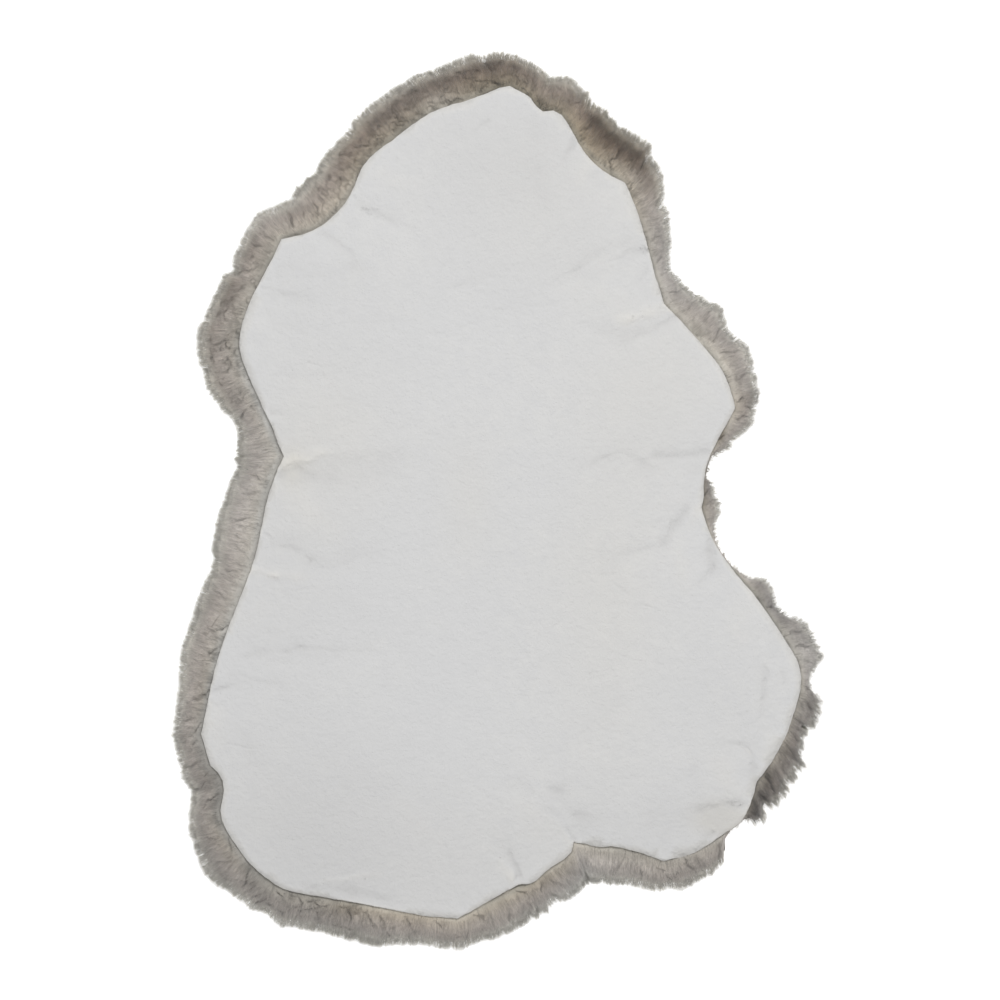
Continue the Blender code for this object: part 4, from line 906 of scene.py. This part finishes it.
def wool_place(s, u, lift):
    """Places on the rim's wool: s along the rim, u out from the cut edge."""
    far = wool_reach(s)
    share = np.clip(u / far, 0, 1)
    height = around(rim[:, 2], s) * (0.06 + 0.94 * (1 - share**2.3)**0.8)
    full = np.clip(far / FULL_REACH, 0, 1)
    swell = full * 1.4 * MM * np.sin(np.pi * np.clip(u / FULL_REACH, 0, 1))
    height += swell - 1.0 * MM * np.exp(-u / (2.2 * MM))
    push = field_at("lump", s, u) + lift
    out = u + push * 0.3 * share**2
    x = around(rim[:, 0], s) + around(outward[:, 0], s) * out
    y = around(rim[:, 1], s) + around(outward[:, 1], s) * out
    return np.stack((x, y, np.maximum(height + push * (1 - 0.5 * share**2), 0.5 * MM)), axis=1)


def paint_wool(piece, s, u, speckle_and_shade):
    """Gives a wool piece its values of place along the fibre, tone and warmth."""
    share = u / wool_reach(s)
    tip = np.clip((share - TIPS_FROM) / TIPS_OVER, 0, 1)**1.3
    tone = field_at("tone", s, u)
    # Painted light on the tips: they are made paler, and the gain of TONE_OUT is added
    tone += tip * 0.3 * np.maximum(1 - tone, 0) + np.interp(share, *np.array(TONE_OUT).T)
    point_values(piece, "along", np.clip(share, 0, 1))
    point_values(piece, "tone", np.clip(tone * speckle_and_shade, 0.2, 1.6))
    point_values(piece, "warmth", np.clip(field_at("warmth", s, u) * (1 - 0.4 * tip), 0, 1))


body_wool = wool_material("body_wool", streaks=True)

bm = merged_copy("fleece")
below = edges_of(bm, lambda face: face.normal.z < -0.7 and face.calc_center_median().z < 6 * MM)
bmesh.ops.subdivide_edges(bm, edges=below, cuts=UNDERSIDE_SPLITS, use_grid_fill=True)
bmesh.ops.triangulate(bm, faces=bm.faces)
bm.normal_update()
for vert in bm.verts:
    if vert.co.z < 4 * MM and all(f.normal.z < -0.7 for f in vert.link_faces):
        bend = noise.noise_vector(vert.co / (LUMP_SIZE * 2.2)) * LUMP_SIZE * 0.6
        near, _ = noise.voronoi((vert.co + bend) / LUMP_SIZE)
        crown = min(1.0, (near[1] - near[0]) / 0.35)
        vert.co.z += CLEFT_DEPTH * (1 - crown)**1.5
body_s, body_gap = by_rim([v.co.xy for v in bm.verts])
body_limit = wool_reach(body_s) * BODY_SHARE
ceiling = wool_place(body_s, np.minimum(body_gap, body_limit), 0.0)[:, 2] - BODY_SUNK
for vert, s, gap, limit, highest in zip(bm.verts, body_s, body_gap, body_limit, ceiling):
    edge = Vector(mark_places[round(s / RIM_MARK) % len(marks)])
    outside = (vert.co.xy - edge).dot(Vector(cut_out[round(s / RIM_MARK) % len(marks)])) > 0
    if outside:
        vert.co.xy = edge + (vert.co.xy - edge) * min(1.0, limit / max(gap, 1e-6))
        vert.co.z = min(vert.co.z, max(highest, 0.5 * MM))
body = finished_piece(bm, "fleece_body", body_wool)
paint_wool(body, body_s, np.minimum(body_gap, body_limit), 0.85)
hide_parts("fleece")


# ---------------------------------------------------------------- the wool round the rim
# The outermost wool leans out from under the cut edge and hangs down to the floor. Its
# locks bunch into soft lumps with clefts between them.

RIM_COLUMN = 2.1 * MM
SOLID_SHARE = 0.82               # how far the dense wool goes of the fibres' reach

# The dense wool is a tube round the rim. Its section goes over the top from under the hide
# to the tips, then back along the floor; rows as share of the way out and share of the height
TOP_ROWS, FLOOR_ROWS = 18, 3
LAST_ROW = 2 + TOP_ROWS + FLOOR_ROWS
TUCKED = 6 * MM                  # how far the tube goes in under the hide
BELOW_HIDE, OVER_FLOOR = 1.6 * MM, 0.6 * MM
columns = round(rim_length / RIM_COLUMN)
bm = bmesh.new()
bmesh.ops.create_grid(bm, x_segments=columns, y_segments=LAST_ROW, size=0.5)
grid = np.array([v.co for v in bm.verts])
tube_s = (grid[:, 0] + 0.5) * rim_length
row = np.rint((grid[:, 1] + 0.5) * LAST_ROW).astype(int)
tube_far = wool_reach(tube_s)
way_out = np.interp(row, (0, 1, 1 + TOP_ROWS, 2 + TOP_ROWS, LAST_ROW - 1, LAST_ROW),
                    (0, 0, SOLID_SHARE, SOLID_SHARE - 0.02, 0.08, 0))
tube = wool_place(tube_s, way_out * tube_far, 0.0)
under_hide = np.isin(row, (0, LAST_ROW))
for axis in (0, 1):
    tube[:, axis] -= around(outward[:, axis], tube_s) * TUCKED * under_hide
hide_under = around(rim[:, 2], tube_s)
tube[:, 2] = np.where(under_hide, hide_under - BELOW_HIDE, tube[:, 2])
tube[:, 2] = np.where((row > 1 + TOP_ROWS) & ~under_hide, OVER_FLOOR, tube[:, 2])
along_rim, out_from_it = (bm.verts.layers.float.new(name) for name in ("along_rim", "out_from_rim"))
for vert, place, s, u in zip(bm.verts, tube, tube_s, way_out * tube_far):
    vert.co, vert[along_rim], vert[out_from_it] = place, s, u
bmesh.ops.remove_doubles(bm, verts=bm.verts, dist=0.02 * MM)
bmesh.ops.recalc_face_normals(bm, faces=bm.faces)
tube_s = np.array([v[along_rim] for v in bm.verts])
tube_u = np.array([v[out_from_it] for v in bm.verts])
rim_wool = finished_piece(bm, "rim_wool", wool_material("rim_wool", streaks=True))
paint_wool(rim_wool, tube_s, tube_u, 0.92)


# ---------------------------------------------------------------- the wool's fibres
# Thin tufts of fibres that lie over the lumps, from under the hide out to the tips. The fibres of one
# tuft grow side by side, wave alike and run together at their tips. Small curls lie on top in places,
# and darker fibres at the bottom of each cleft paint the shade there.

FIBRE_WIDTH = 0.27 * MM
WISPS_PAST, TIPS_PAST = 4.1, 5.5  # how far wisps and the other tips pass the wool's reach, mm
SPIKE_PAST = 4.0                 # mm more at the middle of a pointed lock, less between two
FULL_GROWTH = 52 * MM            # the nearer the wool's reach is to this, the more tufts grow

# Families of tufts: name, pieces, fibres in each, fibres in a tuft, rings along a fibre, how
# far a tuft's fibres stand apart at their roots in mm, how far its tips stray along the rim
FAMILIES = (
    ("rim_fibres", 3, 6000, 2, 4, 0.8, 1.0), ("rim_curls", 1, 1200, 5, 5, 0.8, 0.0),
    ("rim_tips", 3, 10000, 2, 3, 0.9, 1.2), ("rim_wisps", 1, 7500, 3, 3, 0.8, 1.6),
    ("rim_fuzz", 1, 18000, 2, 2, 0.9, 1.0),
)
CLEFT_RINGS = 5


def fibre_pattern(rings):
    """One straight tapered fibre of three sides: ring of each point, its place round the ring."""
    bm = bmesh.new()
    bmesh.ops.create_cone(bm, cap_ends=True, segments=3, radius1=1.0, radius2=0.0, depth=1.0)
    bmesh.ops.remove_doubles(bm, verts=bm.verts, dist=1e-6)
    for ring in range(1, rings - 1):
        geometry = list(bm.verts) + list(bm.edges) + list(bm.faces)
        height = ring / (rings - 1) - 0.5
        bmesh.ops.bisect_plane(bm, geom=geometry, plane_co=(0, 0, height), plane_no=(0, 0, 1))
    bmesh.ops.triangulate(bm, faces=bm.faces)
    points = np.array([v.co for v in bm.verts])
    faces = np.array([[v.index for v in f.verts] for f in bm.faces])
    ring = np.rint((points[:, 2] + 0.5) * (rings - 1)).astype(int)
    size = np.hypot(points[:, 0], points[:, 1])
    around_ring = points[:, :2] / np.maximum(size, 1e-9)[:, None]
    bm.free()
    return ring, around_ring, faces


def sideways(s):
    """Direction along the rim at each place, across the way the wool grows."""
    return np.stack((-around(outward[:, 1], s), around(outward[:, 0], s), np.zeros(len(s))), axis=1)


def many_fibres(name, lines, aside, widths, material):
    """Copies the fibre along each line and joins the copies into one piece."""
    ring, around_ring, faces = fibre_pattern(lines.shape[1])
    count = len(lines)
    taper = np.sqrt(1 - (ring / (lines.shape[1] - 1))**1.6)
    along = np.gradient(lines, axis=1)
    up = np.cross(along, aside[:, None, :])
    up /= np.maximum(np.linalg.norm(up, axis=2, keepdims=True), 1e-9)
    offset = (around_ring[None, :, 0, None] * aside[:, None, :]
              + around_ring[None, :, 1, None] * up[:, ring, :])
    points = lines[:, ring, :] + offset * (widths[:, None] * taper[None, :])[:, :, None]
    points[:, :, 2] = np.maximum(points[:, :, 2], 0.1 * MM)
    all_faces = faces[None] + (np.arange(count) * len(ring))[:, None, None]
    mesh = bpy.data.meshes.new(name)
    mesh.from_pydata(points.reshape(-1, 3).tolist(), [], all_faces.reshape(-1, 3).tolist())
    return shown_piece(name, mesh, material), ring


draw = np.random.default_rng(41)


def tuft_places(family, tufts):
    """Places of a family's tufts along the rim, fewer where the wool is short."""
    places = draw.uniform(0, rim_length, tufts * 12)
    kept = draw.uniform(0, FULL_GROWTH, len(places)) < wool_reach(places) + 4 * MM
    if family == "rim_curls":
        curly = sum(amount * near_place(places, place, half) for place, half, amount in CURLY)
        kept &= draw.uniform(0, 1, len(places)) < curly
    return places[kept][:tufts]


def tuft_extent(family, tuft_s, far, strength):
    """How far out each tuft starts and ends, and the angle through which it bends if it curls."""
    tufts, bend = len(tuft_s), None
    tip_far = wool_reach(tuft_s + field_at("comb", tuft_s, far * 0.95))
    spike = SPIKE_PAST * field_at("spikes", tuft_s, far * 0.95)
    if family == "rim_wisps":
        stray = np.abs(draw.normal(0, 1.8, tufts)) * strength**0.7
        end = tip_far + (WISPS_PAST + spike + stray) * MM
        start = draw.uniform(0.55, 0.8, tufts) * far
    elif family in ("rim_tips", "rim_fuzz"):
        fuzz = family == "rim_fuzz"
        end = tip_far + (TIPS_PAST + spike + draw.normal(0, 0.8, tufts)) * MM
        end -= draw.exponential((2.4 if fuzz else 3.6) * MM, tufts)
        if fuzz:
            start = np.maximum(end - draw.uniform(5, 9, tufts) * MM, 0.3 * far)
        else:
            start = draw.uniform(0.30, 0.75, tufts) * far
    elif family == "rim_curls":
        start = draw.uniform(0.0, 0.68, tufts) * far
        end = start + draw.uniform(6, 11, tufts) * MM
        bend = draw.uniform(1.6, 3.6, tufts)
        handed = rim_noise(tuft_s, start, 16 * MM, 10 * MM, 12) + 0.15 * draw.normal(0, 1, tufts)
        bend *= np.sign(handed)
    else:
        start = (draw.uniform(0, 1, tufts)**1.1 * 0.80 - 0.04) * far
        end = start + draw.uniform(13, 25, tufts) * MM
        end = np.minimum(end, far * draw.uniform(0.80, 0.98, tufts))
    shortest = 0.1 if family == "rim_fuzz" else 0.25
    return start, np.maximum(end, start + shortest * far), bend


fibre_wool = wool_material("fibre_wool", streaks=False)
for family, pieces, wanted, tuft_size, rings, tuft_spread, tuft_stray in FAMILIES:
    at_tips = family in ("rim_tips", "rim_wisps", "rim_fuzz")
    for batch in range(pieces):
        tuft_s = tuft_places(family, wanted // tuft_size)
        tufts, far = len(tuft_s), wool_reach(tuft_s)
        strength = 1 + 4 * np.interp(tuft_s, field_s, pointed_round)
        start, end, bend = tuft_extent(family, tuft_s, far, strength)
        tuft_lean = draw.normal(0, tuft_stray, tufts) * MM
        tuft_wave = draw.uniform(0.1, 0.7, tufts) * MM
        tuft_turn = draw.uniform(0, 2 * np.pi, tufts)
        tuft_lift = draw.uniform(0.1, 0.8, tufts) * MM
        tuft_tone = 1 + draw.normal(0, 0.035, tufts) * strength

        own = np.repeat(np.arange(tufts), tuft_size)
        count = len(own)
        spread = draw.normal(0, 1, count) * tuft_spread * MM
        start = start[own] + draw.normal(0, 1.2, count) * MM
        end = end[own] - draw.exponential(1.2 * MM, count)
        stray = draw.normal(0, 1.0, count) * MM
        far, s_root = far[own], tuft_s[own]
        lines = np.zeros((count, rings, 3))
        fibre_s, fibre_u = np.zeros((count, rings)), np.zeros((count, rings))
        for k in range(rings):
            t = k / (rings - 1)
            if bend is not None:
                u = start + (end - start) * np.sin(bend[own] * t) / bend[own]
                aside = spread + (end - start) * (1 - np.cos(bend[own] * t)) / bend[own]
                lift = (0.3 + 0.7 * math.sin(math.pi * t)) * MM
            else:
                u = start + (end - start) * t
                wave = tuft_wave[own] * np.sin(tuft_turn[own] + 2 * np.pi * 1.2 * t) * min(1.0, 2 * t)
                aside = spread * (1 - 0.5 * t**1.5) + tuft_lean[own] * t**1.5 + wave + stray * t**2
                lift = 0.15 * MM + tuft_lift[own] * t**1.6 * (u < 0.9 * far)
            s_here = s_root + field_at("comb", s_root, np.maximum(u, 0)) + aside
            here = wool_place(s_here, np.maximum(u, 0.0), lift)
            tucked = u < 0
            hide_under = around(rim[:, 2], s_here[tucked]) - 1.3 * MM
            here[tucked, 2] = np.minimum(here[tucked, 2], hide_under)
            lines[:, k] = here
            fibre_s[:, k], fibre_u[:, k] = s_here, np.maximum(u, 0)
        side = sideways(s_root)
        side /= np.linalg.norm(side, axis=1)[:, None]
        widths = FIBRE_WIDTH * draw.uniform(0.6, 1.4, count) * (0.8 if at_tips else 1.0)
        piece, ring = many_fibres(f"{family}_{batch + 1}", lines, side, widths, fibre_wool)
        speckle_and_shade = np.repeat(tuft_tone[own] * draw.normal(1.0, 0.15, count), len(ring))
        paint_wool(piece, fibre_s[:, ring].ravel(), fibre_u[:, ring].ravel(), speckle_and_shade)

# The shaded wool at the bottom of each cleft, as a few darker fibres that run down its length
cleft_s, cleft_u, shade = [], [], []
for cleft in CLEFTS:
    near, far, half_width, depth = cleft_extent(cleft)
    count = round(6 + 2 * depth)
    first, last = draw.uniform(-0.10, 0.30, count), draw.uniform(0.70, 1.12, count)
    share = first[:, None] + (last - first)[:, None] * np.linspace(0, 1, CLEFT_RINGS)
    middle = np.sin(np.pi * np.clip(share, 0.1, 0.9))
    across = draw.normal(0, 0.40 * half_width * MM, count)[:, None] * middle
    cleft_s.append(cleft_centre(cleft, share)[0] + across)
    cleft_u.append(np.maximum(near + (far - near) * share, 0.5 * MM))
    # Painted shade: each fibre is darker the deeper its cleft, most of all at the middle
    painted_dark = np.clip(0.12 * depth + draw.normal(0, 0.06, count), 0.1, 0.55)[:, None]
    shade.append(1 - painted_dark * middle)
cleft_s, cleft_u, shade = (np.concatenate(part) for part in (cleft_s, cleft_u, shade))
lift = np.repeat(draw.uniform(0.7, 1.3, len(shade)) * MM, CLEFT_RINGS)
lines = wool_place(cleft_s.ravel(), cleft_u.ravel(), lift).reshape(-1, CLEFT_RINGS, 3)
widths = FIBRE_WIDTH * draw.uniform(0.7, 1.3, len(shade))
piece, ring = many_fibres("cleft_fibres", lines, sideways(cleft_s[:, 0]), widths, fibre_wool)
paint_wool(piece, cleft_s[:, ring].ravel(), cleft_u[:, ring].ravel(), shade[:, ring].ravel())


# ---------------------------------------------------------------- floor, light and camera
# A white studio floor under an even, soft light that is a little stronger from the upper
# right, and a long lens straight above the rug.

PIXEL = 1.1 * MM                 # size of one pixel of the picture at the rug
LENS_HEIGHT = 8.0
PICTURE_CENTRE = (3.6 * MM, 0.3 * MM)


material, tree, shader = new_material("studio_floor")
set_inputs(tree, shader, {
    "Base Color": (0.8, 0.8, 0.8, 1), "Roughness": 1.0, "Specular IOR Level": 0.0,
    "Emission Color": (1, 1, 1, 1), "Emission Strength": 0.7})
bm = bmesh.new()
bmesh.ops.create_grid(bm, x_segments=1, y_segments=1, size=6.0)
floor = placed("studio_floor", mesh_from(bm, "studio_floor"))
floor.data.materials.append(material)


def soft_light(name, place, size, power):
    data = bpy.data.lights.new(name, "AREA")
    data.shape, data.size, data.energy = "DISK", size, power
    light = placed(name, data)
    light.location = place
    light.rotation_euler = (-Vector(place)).to_track_quat("-Z", "Y").to_euler()


soft_light("window_upper_right", (1.5, 2.3, 4.4), 2.2, 105)
soft_light("fill_upper_left", (-2.2, 1.6, 4.4), 2.4, 45)

world = bpy.data.worlds.new("soft_room")
world.use_nodes = True
set_inputs(world.node_tree, world.node_tree.nodes["Background"],
           {"Color": (1, 1, 1, 1), "Strength": 0.72})
bpy.context.scene.world = world
bpy.context.scene.view_settings.view_transform = "Standard"

lens = bpy.data.cameras.new("overhead")
lens.sensor_width = 36
lens.lens = 36 * LENS_HEIGHT / (1000 * PIXEL)
camera = placed("overhead", lens)
camera.location = (*PICTURE_CENTRE, LENS_HEIGHT + 30 * MM)
lens.clip_end = 20
bpy.context.scene.camera = camera
